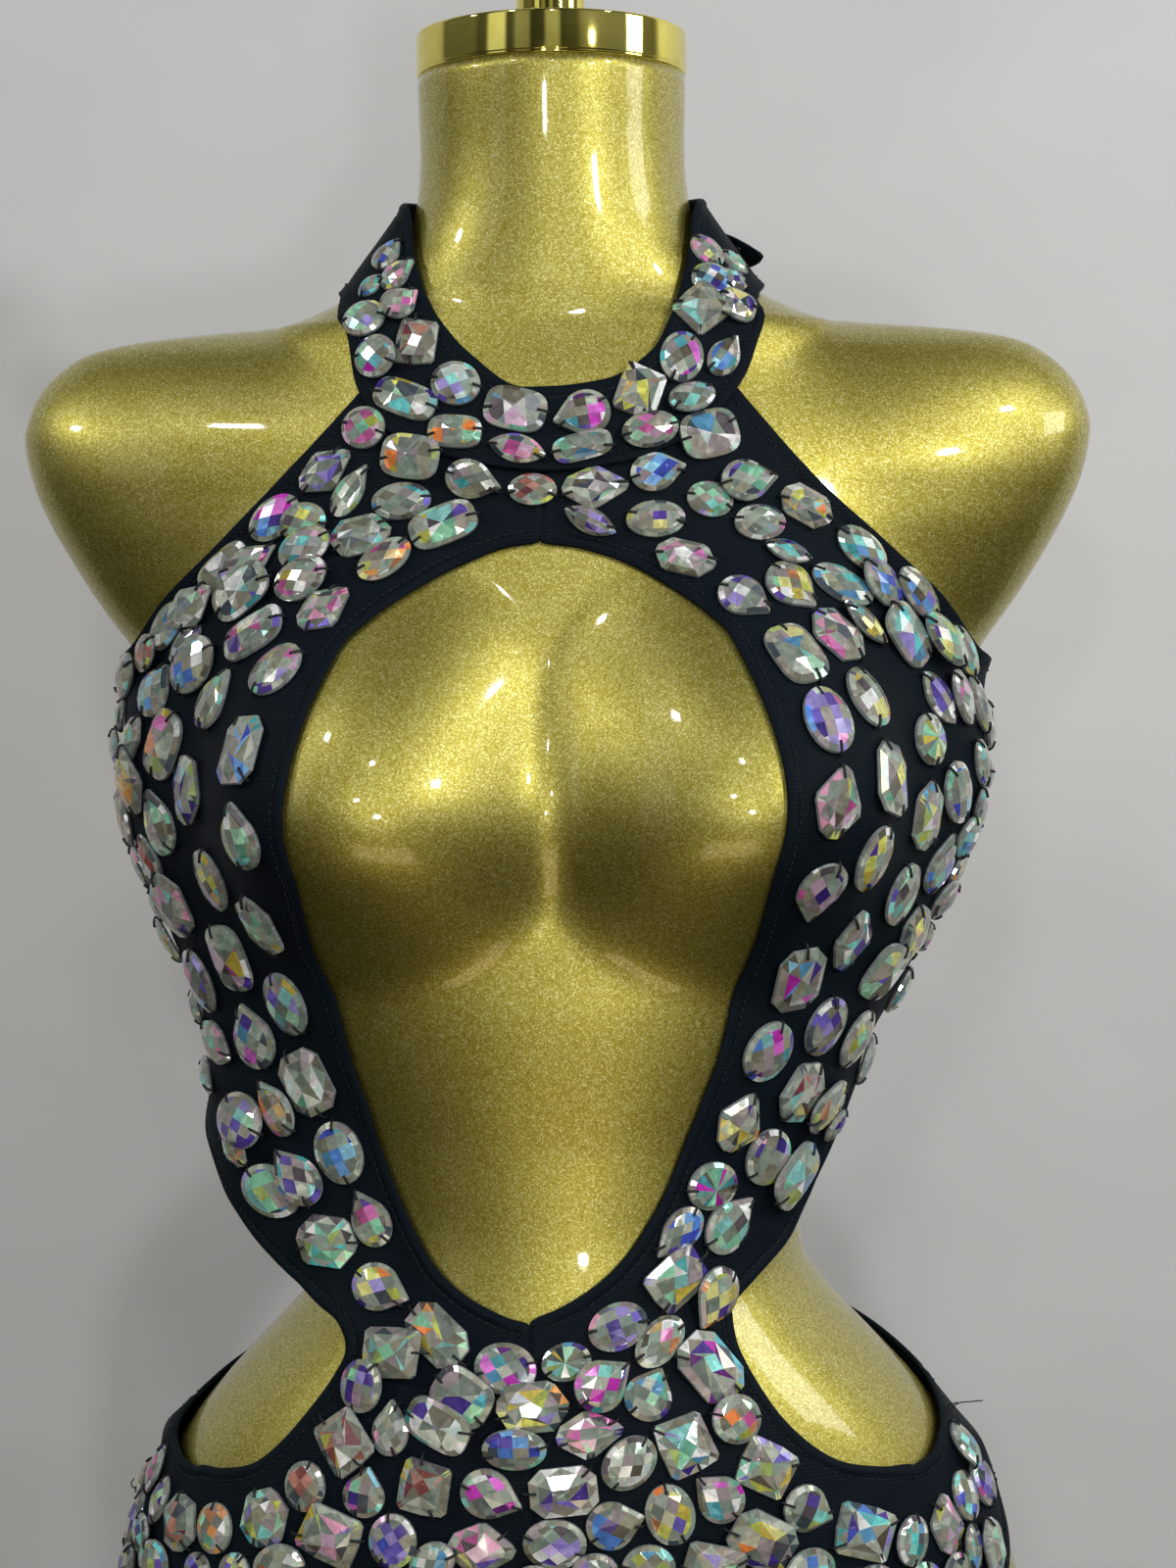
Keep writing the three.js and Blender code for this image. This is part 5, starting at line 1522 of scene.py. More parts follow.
def clip(poly, nx, ny, c):
    """The part of a polygon where nx x + ny y <= c."""
    out = []
    for i in range(len(poly)):
        p, q = poly[i], poly[(i + 1) % len(poly)]
        dp, dq = nx * p[0] + ny * p[1] - c, nx * q[0] + ny * q[1] - c
        if dp <= 0:
            out.append(p)
        if (dp < 0 < dq) or (dq < 0 < dp):
            t = dp / (dp - dq)
            out.append((p[0] + (q[0] - p[0]) * t, p[1] + (q[1] - p[1]) * t))
    return out


def crown(s):
    """Share of the stone's height at a gauge."""
    return 0.45 + 0.55 * (1 - np.clip(s, 0, 1) ** 2.3)


def srgb(r, g, b):
    v = np.array([r, g, b], float) / 255
    return np.where(v <= 0.04045, v / 12.92, ((v + 0.055) / 1.055) ** 2.4)


# Facet colours: the greys and tints are the stones' own foiled, AB-coated colours; the dark ones are painted dark
# reflections in facets.
GREYS = [srgb(*c) for c in ((150, 160, 148), (172, 180, 166), (134, 146, 134), (164, 158, 144), (146, 166, 152), (122, 132, 124), (186, 192, 178), (164, 152, 154), (154, 156, 132), (132, 130, 114))]
DARK_REFLECTIONS = [srgb(*c) for c in ((78, 88, 98), (92, 84, 90), (64, 78, 84), (98, 92, 78))]
TINTS = {
    "c": [(190, 192, 190), (168, 172, 176), (205, 205, 200), (150, 165, 170)],
    "g": [(150, 220, 180), (176, 226, 190), (120, 190, 160), (170, 190, 110), (140, 205, 200)],
    "t": [(110, 215, 215), (80, 170, 175), (150, 235, 225), (90, 150, 190)],
    "b": [(90, 140, 225), (120, 175, 240), (70, 90, 200), (140, 200, 225)],
    "v": [(92, 68, 160), (120, 105, 205), (70, 50, 140), (165, 150, 220)],
    "p": [(225, 120, 190), (235, 165, 195), (190, 90, 150), (215, 180, 205)],
    "m": [(205, 55, 190), (110, 50, 130), (235, 120, 225), (90, 175, 190), (80, 60, 150)],
    "r": [(150, 85, 80), (170, 110, 100), (120, 60, 70), (200, 140, 120)],
    "o": [(235, 165, 95), (220, 190, 130), (245, 140, 70), (190, 130, 90)],
    "y": [(225, 225, 110), (240, 235, 150), (190, 195, 90), (205, 185, 80)],
    # w: near white, for facets painted as glints
    "w": [(250, 252, 250), (225, 245, 240), (245, 250, 235)],
}
TINTS = {k: [srgb(*c) for c in v] for k, v in TINTS.items()}
NEXT = {"c": "gpt", "g": "tyv", "t": "gbv", "b": "tvg", "v": "bgp", "p": "gvy", "m": "gtb", "r": "gyc", "o": "ygp", "y": "gov", "w": "gtv"}


def colour(rng, tint, top=True):
    k = rng.random()
    if k < (0.50 if top else 0.72):
        c = GREYS[rng.integers(len(GREYS))]
    elif k < (0.56 if top else 0.80):
        # a facet painted dark: a painted dark reflection
        c = DARK_REFLECTIONS[rng.integers(len(DARK_REFLECTIONS))]
    elif k < 0.87:
        c = TINTS[tint][rng.integers(len(TINTS[tint]))]
    elif k < 0.975:
        other = NEXT[tint][rng.integers(3)]
        c = TINTS[other][rng.integers(len(TINTS[other]))]
    else:
        # a facet painted white: a painted glint
        c = TINTS["w"][0]
    return np.clip(c * rng.uniform(0.82, 1.12), 0, 1)


def stone_parts(rng, cut, a, b, h, tint):
    """One stone about its own middle: points, faces, a colour per face. a, b are half sizes."""
    o = OUTLINES[cut]
    n = len(o)
    pts, faces, cols = [], [], []

    def ring(scale, z):
        base = len(pts)
        pts.extend([(p[0] * a * scale, p[1] * b * scale, z) for p in o])
        return base

    def add(poly, zs, c):
        base = len(pts)
        pts.extend([(p[0] * a, p[1] * b, z) for p, z in zip(poly, zs)])
        faces.append(tuple(range(base, base + len(poly))))
        cols.append(c)

    r0 = ring(0.93, 0.0)
    r1 = ring(1.0, h * 0.20)
    r2 = ring(0.985, h * 0.45)
    edge = srgb(168, 174, 174)
    # The girdle is grey; its lower band, facing the cloth, is painted at a third of that: painted shade under the
    # stone's rim.
    for lo, hi, k in ((r0, r1, 0.35), (r1, r2, 0.8)):
        for i in range(n):
            j = (i + 1) % n
            faces.append((lo + i, lo + j, hi + j, hi + i))
            cols.append(np.clip(edge * k * rng.uniform(0.75, 1.2), 0, 1))
    faces.append(tuple(r0 + i for i in range(n))[::-1])
    cols.append(srgb(60, 64, 68))

    # bezel facets between the girdle and the top
    many = n > 12
    inner = 0.80 if many else 0.70
    count = 12 if many else n
    if many:
        marks = [int(round(k * n / count)) % n for k in range(count)]
    else:
        marks = list(range(n))
    zi = h * float(crown(np.array(inner)))
    for m0, m1 in zip(marks, marks[1:] + marks[:1]):
        run = [m0]
        while run[-1] != m1:
            run.append((run[-1] + 1) % n)
        outer_line = [tuple(o[i] * 0.985) for i in run]
        inner_line = [tuple(o[i] * inner) for i in run]
        c = colour(rng, tint, top=False)
        # Three in ten bezel facets are painted a quarter brighter: painted glints.
        if rng.random() < 0.3:
            c = np.clip(c * 1.25, 0, 1)
        if many:
            add(outer_line + inner_line[::-1], [h * 0.45] * len(run) + [zi] * len(run), c)
        else:  # two triangles and a kite make each bezel facet livelier
            p0, p1, q0, q1 = outer_line[0], outer_line[-1], inner_line[0], inner_line[-1]
            mid = ((p0[0] + p1[0]) / 2, (p0[1] + p1[1]) / 2)
            add([p0, mid, q0], [h * 0.45] * 2 + [zi], c)
            # The second triangle is painted up to a fifth darker or a third lighter than the first: painted light and
            # shade across the facet.
            add([mid, p1, q1], [h * 0.45] * 2 + [zi], np.clip(c * rng.uniform(0.8, 1.3), 0, 1))
            add([mid, q1, q0], [h * 0.45] + [zi] * 2, colour(rng, tint, top=False))
    top = [tuple(p * inner) for p in o]

    def height(x, y):
        return h * float(crown(gauge(o, np.array(x), np.array(y))))

    if cut == "fan":
        m = 16
        cx, cy = rng.uniform(-0.12, 0.12, 2)
        zc = h * 1.02
        ring_p = [top[int(round(k * n / m)) % n] for k in range(m)]
        for k in range(m):
            c = colour(rng, tint)
            # The fan's facets are painted lighter and darker in turn: painted lit and shaded facets.
            add([ring_p[k], ring_p[(k + 1) % m], (cx, cy)], [zi, zi, zc], np.clip(c * (1.15 if k % 2 else 0.75), 0, 1))
    elif cut in ("octagon", "square", "hex", "kite"):
        # a star of flat facets about a raised, off-centre small table
        m = len(top)
        tx, ty = rng.uniform(-0.1, 0.1, 2)
        turn = rng.uniform(0, math.pi)
        k4 = 4 if cut != "hex" else 5
        table = [
            (tx + 0.33 * math.cos(turn + 2 * math.pi * k / k4), ty + 0.33 * math.sin(turn + 2 * math.pi * k / k4))
            for k in range(k4)
        ]
        zt = h * 0.99
        add(table, [zt] * k4, colour(rng, tint))
        # join the table to the outline: each outline corner goes to its nearest table corner
        near = [min(range(k4), key=lambda q: (table[q][0] - p[0]) ** 2 + (table[q][1] - p[1]) ** 2) for p in top]
        for i in range(m):
            j = (i + 1) % m
            p, q = top[i], top[j]
            ta, tb = near[i], near[j]
            add([p, q, table[ta]], [zi, zi, zt], colour(rng, tint))
            guard = 0
            while ta != tb and guard < k4:
                step = 1 if (tb - ta) % k4 <= k4 / 2 else -1
                tn = (ta + step) % k4
                tri = [q, table[tn], table[ta]] if step == 1 else [q, table[ta], table[tn]]
                ar = (tri[1][0] - tri[0][0]) * (tri[2][1] - tri[0][1]) - (tri[2][0] - tri[0][0]) * (tri[1][1] - tri[0][1])
                if ar < 0:
                    tri = tri[::-1]
                zs = [zi if t is q else zt for t in tri]
                add(tri, zs, colour(rng, tint))
                ta = tn
                guard += 1
    elif cut == "cushion":
        # long facets: lines along and across, turned a little
        cells = [top]
        w = rng.uniform(-0.25, 0.25)
        cuts = [
            (math.sin(w), math.cos(w), rng.uniform(-0.12, 0.12)),
            (math.cos(0.7 + w), math.sin(0.7 + w), rng.uniform(-0.1, 0.1)),
            (math.cos(-0.7 + w), math.sin(-0.7 + w), rng.uniform(-0.1, 0.1)),
            (math.cos(w), math.sin(w), rng.uniform(0.3, 0.42)),
            (math.cos(w), math.sin(w), -rng.uniform(0.3, 0.42)),
        ]
        for nx, ny, c in cuts:
            nxt = []
            for cell in cells:
                for q in (clip(cell, nx, ny, c), clip(cell, -nx, -ny, -c)):
                    if len(q) > 2:
                        nxt.append(q)
            cells = nxt
        for cell in cells:
            zs = [height(*p) for p in cell]
            add(cell, zs, colour(rng, tint))
    else:
        cells = [top]
        step = rng.uniform(0.40, 0.50)
        off = rng.uniform(0, step, 2)
        tw = rng.choice([0.785, 0.785, 0.0]) + rng.uniform(-0.12, 0.12)
        for ang, o0 in ((tw, off[0]), (tw + math.pi / 2, off[1])):
            nx, ny = math.cos(ang), math.sin(ang)
            for k in range(-3, 4):
                c = k * step + o0 - step / 2
                nxt = []
                for cell in cells:
                    for q in (clip(cell, nx, ny, c), clip(cell, -nx, -ny, -c)):
                        if len(q) > 2:
                            nxt.append(q)
                cells = nxt
        for cell in cells:
            ar = 0.5 * sum(cell[i][0] * cell[(i + 1) % len(cell)][1] - cell[(i + 1) % len(cell)][0] * cell[i][1] for i in range(len(cell)))
            if abs(ar) < 1e-4:
                continue
            zs = [height(*p) for p in cell]
            add(cell, zs, colour(rng, tint))
    return np.array(pts), faces, cols


placed = []  # dicts with the stone's frame, for those laid after it


def skin_gap(points):
    """How far points stand outside the cloth (negative: under it)."""
    rho = np.hypot(points[:, 0], points[:, 1])
    deg = np.degrees(np.arctan2(points[:, 0], -points[:, 1]))
    return rho - skin(deg, points[:, 2])


def rest_on(centre, normal, ex, cut, a, b, h):
    """Lays a stone on the cloth and on the stones under its edge: the lowest plane that clears them."""
    ey = np.cross(normal, ex)
    o = OUTLINES[cut]
    pick = o[:: max(1, len(o) // 10)]
    local = np.vstack([pick * 0.95, pick * 0.5, [[0, 0]]]) * np.array([a, b])
    world = centre + local[:, :1] * ex + local[:, 1:] * ey
    rho = np.hypot(world[:, 0], world[:, 1])
    nr = np.stack([world[:, 0] / rho, world[:, 1] / rho, 0 * rho], -1)
    lean = np.clip((nr * normal).sum(1), 0.35, 1)
    need = -skin_gap(world) * lean
    for s in placed:
        if np.linalg.norm(s["c"] - centre) > s["a"] + max(a, b) + 1:
            continue
        if np.dot(s["n"], normal) < 0.4:
            continue
        rel = world - s["c"]
        x, y = rel @ s["ex"] / s["a"], rel @ s["ey"] / s["b"]
        g = gauge(OUTLINES[s["cut"]], x, y)
        inside = g < 0.97
        top = s["c"] + (x * s["a"])[:, None] * s["ex"] + (y * s["b"])[:, None] * s["ey"] + (s["h"] * crown(g) + 0.1)[:, None] * s["n"]
        lift = ((top - world) * normal).sum(1)
        need = np.where(inside, np.maximum(need, lift), need)
    # the lowest plane over these needs, at the middle
    k = len(local)
    tri = np.array([(i, j, m) for i in range(k) for j in range(i + 1, k) for m in range(j + 1, k)])
    A = np.concatenate([np.ones((len(tri), 3, 1)), local[tri]], -1)
    det = np.linalg.det(A)
    good = np.abs(det) > 1.0
    A, tri = A[good], tri[good]
    coef = np.linalg.solve(A, need[tri][..., None])[..., 0]
    over = coef[:, :1] + coef[:, 1:] @ local.T - need[None, :]
    feasible = over.min(1) > -0.12
    tilt = np.hypot(coef[:, 1], coef[:, 2])
    if feasible.any():
        cost = np.where(feasible & (tilt < 0.75), coef[:, 0] + 2.0 * tilt, 1e9)
        best = coef[np.argmin(cost)]
        if cost.min() > 1e8:
            best = np.array([need.max(), 0, 0])
    else:
        best = np.array([need.max(), 0, 0])
    c = centre + normal * best[0]
    ex2 = ex + normal * best[1]
    ey2 = ey + normal * best[2]
    ex2 /= np.linalg.norm(ex2)
    n2 = np.cross(ex2, ey2)
    n2 /= np.linalg.norm(n2)
    ey2 = np.cross(n2, ex2)
    return c, ex2, ey2, n2


stone_pts, stone_faces, stone_cols, stone_uv = [], [], [], []
thread_paths = []
count_pts = 0


def add_stone(centre, normal, ex, cut, a, b, h, tint, rng, lift_limit=None):
    global count_pts
    c, ex2, ey2, n2 = rest_on(centre, normal, ex, cut, a, b, h)
    if lift_limit is not None and float(skin_gap(c[None])[0]) > lift_limit:
        return
    pts, faces, cols = stone_parts(rng, cut, a, b, h, tint)
    world = c + pts[:, :1] * ex2 + pts[:, 1:2] * ey2 + pts[:, 2:] * n2
    stone_pts.append(world)
    stone_faces.extend([tuple(i + count_pts for i in f) for f in faces])
    stone_cols.extend(cols)
    shift = rng.uniform(0, 5, 2)
    stone_uv.append(pts[:, :2] / 1000 + shift)
    count_pts += len(pts)
    placed.append(dict(c=c, ex=ex2, ey=ey2, n=n2, a=a, b=b, h=h, cut=cut))
    # two sewing holes, each with its thread over the edge
    o = OUTLINES[cut]
    for end in (0, 1):
        ang = math.pi * end + rng.uniform(-0.45, 0.45) + (0.35 if cut in ("octagon", "square", "hex", "kite") else 0)
        x, y = math.cos(ang), math.sin(ang)
        g = float(gauge(o, np.array(x), np.array(y)))
        x, y = x / g, y / g
        path = []
        for s, z in ((0.70, None), (0.82, None), (0.93, None), (1.02, 0.36), (1.05, 0.12), (1.02, -0.02)):
            hz = h * float(crown(np.array(s))) + 0.22 if z is None else h * z
            path.append(c + ex2 * (x * a * s) + ey2 * (y * b * s) + n2 * hz)
        thread_paths.append(path)


def size_limits(cut, long_mm, short_mm):
    long_mm = float(np.clip(long_mm, 11.5, 26.5))
    short_mm = float(np.clip(short_mm, 8.0, 19.5))
    ratio = {"round": 1.0, "fan": 0.9, "square": 0.92, "oval": 0.74, "drop": 0.72, "navette": 0.52, "cushion": 0.70, "octagon": 0.72, "hex": 0.72, "kite": 0.72}[cut]
    low, high = ratio * 0.66, min(1.0, ratio * 1.22)
    short_mm = float(np.clip(short_mm, long_mm * low, long_mm * high))
    return long_mm, short_mm


def carriers():
    """Places on the uppermost cloth that are far enough from its edges for a stone's middle."""
    pts, nrms = [], []
    for name in ("front_left", "front_right", "collar"):
        outer, ok, nrm, dg, zz = SHELLS[name]
        tree = tree_of([p for kind, line, _ in HEM_LINES[name] if kind != "seam" for p in dense(line, 1.5)])
        for i, j in np.argwhere(ok):
            if (i + j) % 2 or abs(dg[i, j]) > 90.5:
                continue
            if name != "collar" and zz[i, j] > collar_out(wrap(dg[i, j])) - 3:
                continue
            if tree.find(Vector(outer[i, j]))[2] < 7.5:
                continue
            pts.append(outer[i, j])
            nrms.append(nrm[i, j])
    return tree_of(pts), pts, nrms


CARRIER, CARRIER_PTS, CARRIER_NRM = carriers()
rng = np.random.default_rng(5)
for px, py, lpx, spx, tilt, cut, tint in STONES:
    p, miss = hit(px, py, lambda d, z: skin(d, z) + 1.6)
    deg = float(np.degrees(np.arctan2(p[0], -p[1])))
    z = float(p[2])
    n = normal_of(skin, np.array(deg), np.array(z))
    foot = at(deg, skin(np.array(deg), np.array(z)), z)
    near, idx, off = CARRIER.find(Vector(foot))
    if off > 2.0:
        foot, n = np.array(CARRIER_PTS[idx]), CARRIER_NRM[idx]
        if off > 16 or any(np.linalg.norm(s["c"] - foot) < 7 for s in placed):
            continue
    view = EYE - foot
    dist = float(np.linalg.norm(view))
    view /= dist
    # the direction in the picture, carried onto the cloth
    t = math.radians(tilt)
    want = RIGHT * math.cos(t) + UP * math.sin(t)
    face = float(n @ view)
    ex = want - view * 0
    ex = want + view * (-(want @ n) / max(face, 0.30))
    ex = ex - n * (ex @ n)
    stretch_long = float(np.linalg.norm(ex))
    ex /= np.linalg.norm(ex)
    ey = np.cross(n, ex)
    seen = lambda v: np.linalg.norm(v - view * (v @ view))
    scale = dist / CAMERA["f"]
    long_mm = lpx * scale / max(seen(ex), 0.45)
    short_dir = ey
    short_mm = spx * scale / max(seen(ey) * 0.96, 0.40)
    long_mm, short_mm = size_limits(cut, long_mm, short_mm)
    h = 3.1 + 0.085 * short_mm + rng.uniform(-0.15, 0.15)
    low = 1.9 if off > 2.0 or face < 0.35 else (3.6 if face < 0.6 else None)
    add_stone(foot, n, ex, cut, long_mm / 2, short_mm / 2, h, tint, rng, low)
charted = len(placed)

# Stones where the photograph doesn't reach: the sides, and below its lower edge.
fill_rng = np.random.default_rng(29)
CUTS = ["oval"] * 8 + ["drop"] * 5 + ["cushion"] * 4 + ["octagon"] * 2 + ["square"] * 3 + ["hex"] * 3 + ["kite"] * 3 + ["round"] * 2 + ["fan"] + ["navette"] * 3
TINT_LIST = list("gggvvvbbttppmmyyccoorw")


def pixel_of(p):
    d = p - EYE
    w = d @ LOOK
    return PHOTO[0] / 2 + CAMERA["f"] * (d @ RIGHT) / w, PHOTO[1] / 2 - CAMERA["f"] * (d @ UP) / w


edge_trees = {}
for name in front:
    edge_points = [p for kind, line, _ in HEM_LINES[name] if kind != "seam" for p in dense(line, 2.0)]
    side_points = [
        p
        for kind, line, _ in HEM_LINES[name]
        if kind == "seam" and abs(abs(np.degrees(np.arctan2(line[0][0], -line[0][1]))) - SIDE) < 4
        for p in dense(line, 2.0)
    ]
    edge_trees[name] = (tree_of(edge_points), tree_of(side_points))
centres = [s["c"] for s in placed]
reach = [0.42 * (s["a"] + s["b"]) for s in placed]
for trial in range(7000):
    name = "front_left" if trial % 2 else "front_right"
    _, outer, ok, nrm, deg, z = front[name]
    i, j = fill_rng.integers(deg.shape[0] - 1), fill_rng.integers(deg.shape[1] - 1)
    if not (ok[i, j] and ok[i + 1, j] and ok[i, j + 1]):
        continue
    u, v = fill_rng.random(2)
    a = deg[i, j] + (deg[i + 1, j] - deg[i, j]) * u + (deg[i, j + 1] - deg[i, j]) * v
    h0 = z[i, j] + (z[i + 1, j] - z[i, j]) * u + (z[i, j + 1] - z[i, j]) * v
    foot = outer[i, j] + (outer[i + 1, j] - outer[i, j]) * u + (outer[i, j + 1] - outer[i, j]) * v
    n = nrm[i, j]
    px, py = pixel_of(foot)
    facing = float(n @ (EYE - foot)) / float(np.linalg.norm(EYE - foot))
    if py < 1612 and facing > 0.03:
        continue
    d_edge = edge_trees[name][0].find(Vector(foot))[2]
    d_side = edge_trees[name][1].find(Vector(foot))[2]
    if d_edge < 15.5 or d_side < 9:
        continue
    if abs(a) < 8 and h0 < 112:
        continue
    if (np.linalg.norm(np.array(centres) - foot, axis=1) - np.array(reach)).min() < 9.6:
        continue
    cut = CUTS[fill_rng.integers(len(CUTS))]
    long_mm = fill_rng.uniform(16.5, 22)
    long_mm, short_mm = size_limits(cut, long_mm, long_mm * fill_rng.uniform(0.5, 1.0))
    w = fill_rng.uniform(0, math.pi)
    ref = np.cross(np.array([0, 0, 1.0]), n)
    ref /= np.linalg.norm(ref)
    ex = ref * math.cos(w) + np.cross(n, ref) * math.sin(w)
    add_stone(foot, n, ex, cut, long_mm / 2, short_mm / 2, 3.1 + 0.085 * short_mm, TINT_LIST[fill_rng.integers(len(TINT_LIST))], fill_rng)
    centres.append(foot)
    reach.append(0.21 * (long_mm + short_mm))
print("stones", charted, "charted,", len(placed) - charted, "more")

stones = mesh_object(
    "stones", np.vstack(stone_pts), stone_faces, MAT_STONE, flat=True, uv=np.vstack(stone_uv), tints=np.array(stone_cols)
)
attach(stones, "root")
tp, tf = tubes(thread_paths, 0.5)
sewing = mesh_object("sewing_threads", tp, tf, MAT_THREAD)
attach(sewing, "root")

# ------------------------------------------------------------------ stitches along the hems
stitch_paths = []
st_rng = np.random.default_rng(3)
for name, lines in HEM_LINES.items():
    for kind, line, normals in lines:
        if kind == "seam" or len(line) < 4:
            continue
        inset = 3.9 if kind == "turned" else 4.2
        if name == "neck_tab":
            inset = 1.3
        step = np.linalg.norm(np.diff(line, axis=0), axis=1)
        run = np.concatenate([[0], np.cumsum(step)])
        if run[-1] < 12:
            continue
        keep = np.concatenate([[True], step > 1e-6])
        run, line, normals = run[keep], line[keep], normals[keep]
        s = np.arange(2.0, run[-1] - 2.0, 2.9)
        get = lambda arr, q: np.stack([np.interp(q, run, arr[:, k]) for k in range(3)], -1)
        for q in s:
            q0, q1 = q, q + 2.0
            seg = []
            for w in np.linspace(q0, q1, 4):
                p, nn = get(line, w), get(normals, w)
                tan = get(line, min(w + 1.0, run[-1])) - get(line, max(w - 1.0, 0))
                tan /= np.linalg.norm(tan) + 1e-9
                into = np.cross(nn, tan)
                into /= np.linalg.norm(into) + 1e-9
                seg.append((p, nn, into))
            stitch_paths.append((name, kind, inset, seg))
print("stitches", len(stitch_paths))


def settle_stitches():
    """Turns each stitch into a short thread on the cloth, inside its edge."""
    out = []
    for name, kind, inset, seg in stitch_paths:
        trees = CLOTH_TREES[name]
        path = []
        p, nn, into = seg[1]
        far = [trees.find(Vector(p + into * (inset + 1.5) * k))[2] for k in (1, -1)]
        side = 1 if far[0] < far[1] else -1
        if min(far) > 1.8:
            continue
        for k, (p, nn, into) in enumerate(seg):
            probe = p + into * inset * side
            near, idx, dist = trees.find(Vector(probe))
            base = np.array(near)
            h = (probe - base) @ nn
            q = probe - nn * h
            path.append(q + nn * (0.10 if k in (0, 3) else 0.34))
        out.append(path)
    return out


CLOTH_TREES = {}
for name, ob in (("front_left", front["front_left"][0]), ("front_right", front["front_right"][0]), ("back_band", band), ("back_lower", lower), ("collar", collar), ("neck_tab", tab)):
    co = np.empty(len(ob.data.vertices) * 3)
    ob.data.vertices.foreach_get("co", co)
    co = co.reshape(-1, 3) * 1000 - np.array([0, SHIFT_Y, 0])
    nr = np.empty(len(co) * 3)
    ob.data.vertices.foreach_get("normal", nr)
    nr = nr.reshape(-1, 3)
    # the outside only
    side_on = (nr * np.stack([co[:, 0], co[:, 1], 0 * co[:, 0]], -1)).sum(1) > 0
    CLOTH_TREES[name] = tree_of(co[side_on])
sp, sf = tubes(settle_stitches(), 0.22, 5)
stitches = mesh_object("hem_stitches", sp, sf, MAT_THREAD)
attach(stitches, "root")


# ------------------------------------------------------------------ loose thread ends
def on_ray(px, py, depth):
    """The place on a pixel's ray whose y is depth."""
    d = ray(px, py)
    return EYE + d * ((depth - EYE[1]) / d[1])


def loose(pixels, depth0, depth1, bow=0.0):
    pts = np.array([on_ray(x, y, mix(depth0, depth1, k / (len(pixels) - 1))) for k, (x, y) in enumerate(pixels)])
    t = np.linspace(0, len(pts) - 1, len(pts) * 5)
    keys = [(k, *p) for k, p in enumerate(pts)]
    return np.stack([curve(keys, 0, c)(t) for c in (1, 2, 3)], -1)


def strap_depth(px, py):
    p, _ = hit(px, py, lambda d, z: skin(d, z))
    return p[1]


d_strap = strap_depth(968, 1444)
ends = [
    loose([(967, 1442), (971, 1437), (974, 1434), (981, 1431), (992, 1430), (1003, 1429)], d_strap, d_strap - 3),
    loose([(966, 1438), (969, 1433), (973, 1432), (977, 1431)], d_strap, d_strap - 2),
]
d_neck = strap_depth(744, 262)
ends.append(loose([(744, 262), (748, 258), (753, 257), (755, 254), (752, 253), (750, 257)], d_neck, d_neck - 2))
d_left = strap_depth(150, 1512)
ends.append(loose([(150, 1512), (142, 1517), (136, 1518), (134, 1513), (137, 1509)], d_left, d_left - 1))
lp, lf = tubes(ends, 0.26, 6)
loose_ends = mesh_object("loose_thread_ends", lp, lf, MAT_THREAD)
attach(loose_ends, "root")


# ------------------------------------------------------------------ stage and light
def plain(name, rgb, rough, scale):
    m, nt, p = new_material(name)
    co = coords(nt)
    n, _ = noise(nt, co, scale, 1)
    a = tuple(v * 0.97 for v in rgb)
    b = tuple(min(1, v * 1.03) for v in rgb)
    nt.links.new(ramp(nt, n, [(0.3, a), (0.7, b)]), p.inputs["Base Color"])
    nt.links.new(math_node(nt, "ADD", math_node(nt, "MULTIPLY", n, 0.1), rough), p.inputs["Roughness"])
    nt.links.new(bump(nt, n, 0.05, 0.001), p.inputs["Normal"])
    return m


def plane(name, centre, size, rot, material):
    bpy.ops.mesh.primitive_plane_add(size=1, location=centre, rotation=rot)
    ob = bpy.context.object
    ob.name = name
    ob.scale = (size[0], size[1], 1)
    ob.data.materials.append(material)
    return ob


def one_sided(material):
    """Clear from behind, so that the wall doesn't hide the back of the form."""
    nt = material.node_tree
    out, p = nt.nodes["Material Output"], nt.nodes["Principled BSDF"]
    geo, clear, choose = (nt.nodes.new("ShaderNode" + k) for k in ("NewGeometry", "BsdfTransparent", "MixShader"))
    nt.links.new(geo.outputs["Backfacing"], choose.inputs[0])
    nt.links.new(p.outputs[0], choose.inputs[1])
    nt.links.new(clear.outputs[0], choose.inputs[2])
    nt.links.new(choose.outputs[0], out.inputs["Surface"])
    return material


floor = plane("floor", (0, -0.02, -0.0006), (1.7, 0.90), (0, 0, 0), plain("floor_paint", (0.52, 0.52, 0.50), 0.55, 3))
floor.visible_glossy = False  # the pale floor isn't mirrored under the busts
floor.visible_diffuse = False
wall = plane(
    "backdrop", (0, 0.42, 1.6), (6, 3.6), (math.pi / 2, 0, 0), one_sided(plain("wall_paint", (0.74, 0.74, 0.735), 0.6, 40))
)


def area_light(name, loc, target, size, power, tint=(1, 1, 1)):
    data = bpy.data.lights.new(name, "AREA")
    data.shape = "RECTANGLE"
    data.size, data.size_y = size
    data.energy = power
    data.color = tint
    ob = bpy.data.objects.new(name, data)
    ob.location = loc
    d = Vector(target) - Vector(loc)
    ob.rotation_euler = d.to_track_quat("-Z", "Y").to_euler()
    scene.collection.objects.link(ob)
    return ob


def lamp(name, azimuth, height, distance, size, power, tint=(1, 1, 1)):
    """A small lamp seen from the form's chest at an azimuth and elevation (degrees)."""
    a, e = math.radians(azimuth), math.radians(height)
    d = (math.sin(a) * math.cos(e), -math.cos(a) * math.cos(e), math.sin(e))
    loc = (d[0] * distance, d[1] * distance, 0.5 + d[2] * distance)
    return area_light(name, loc, (0, 0, 0.45), (size, size), power, tint)


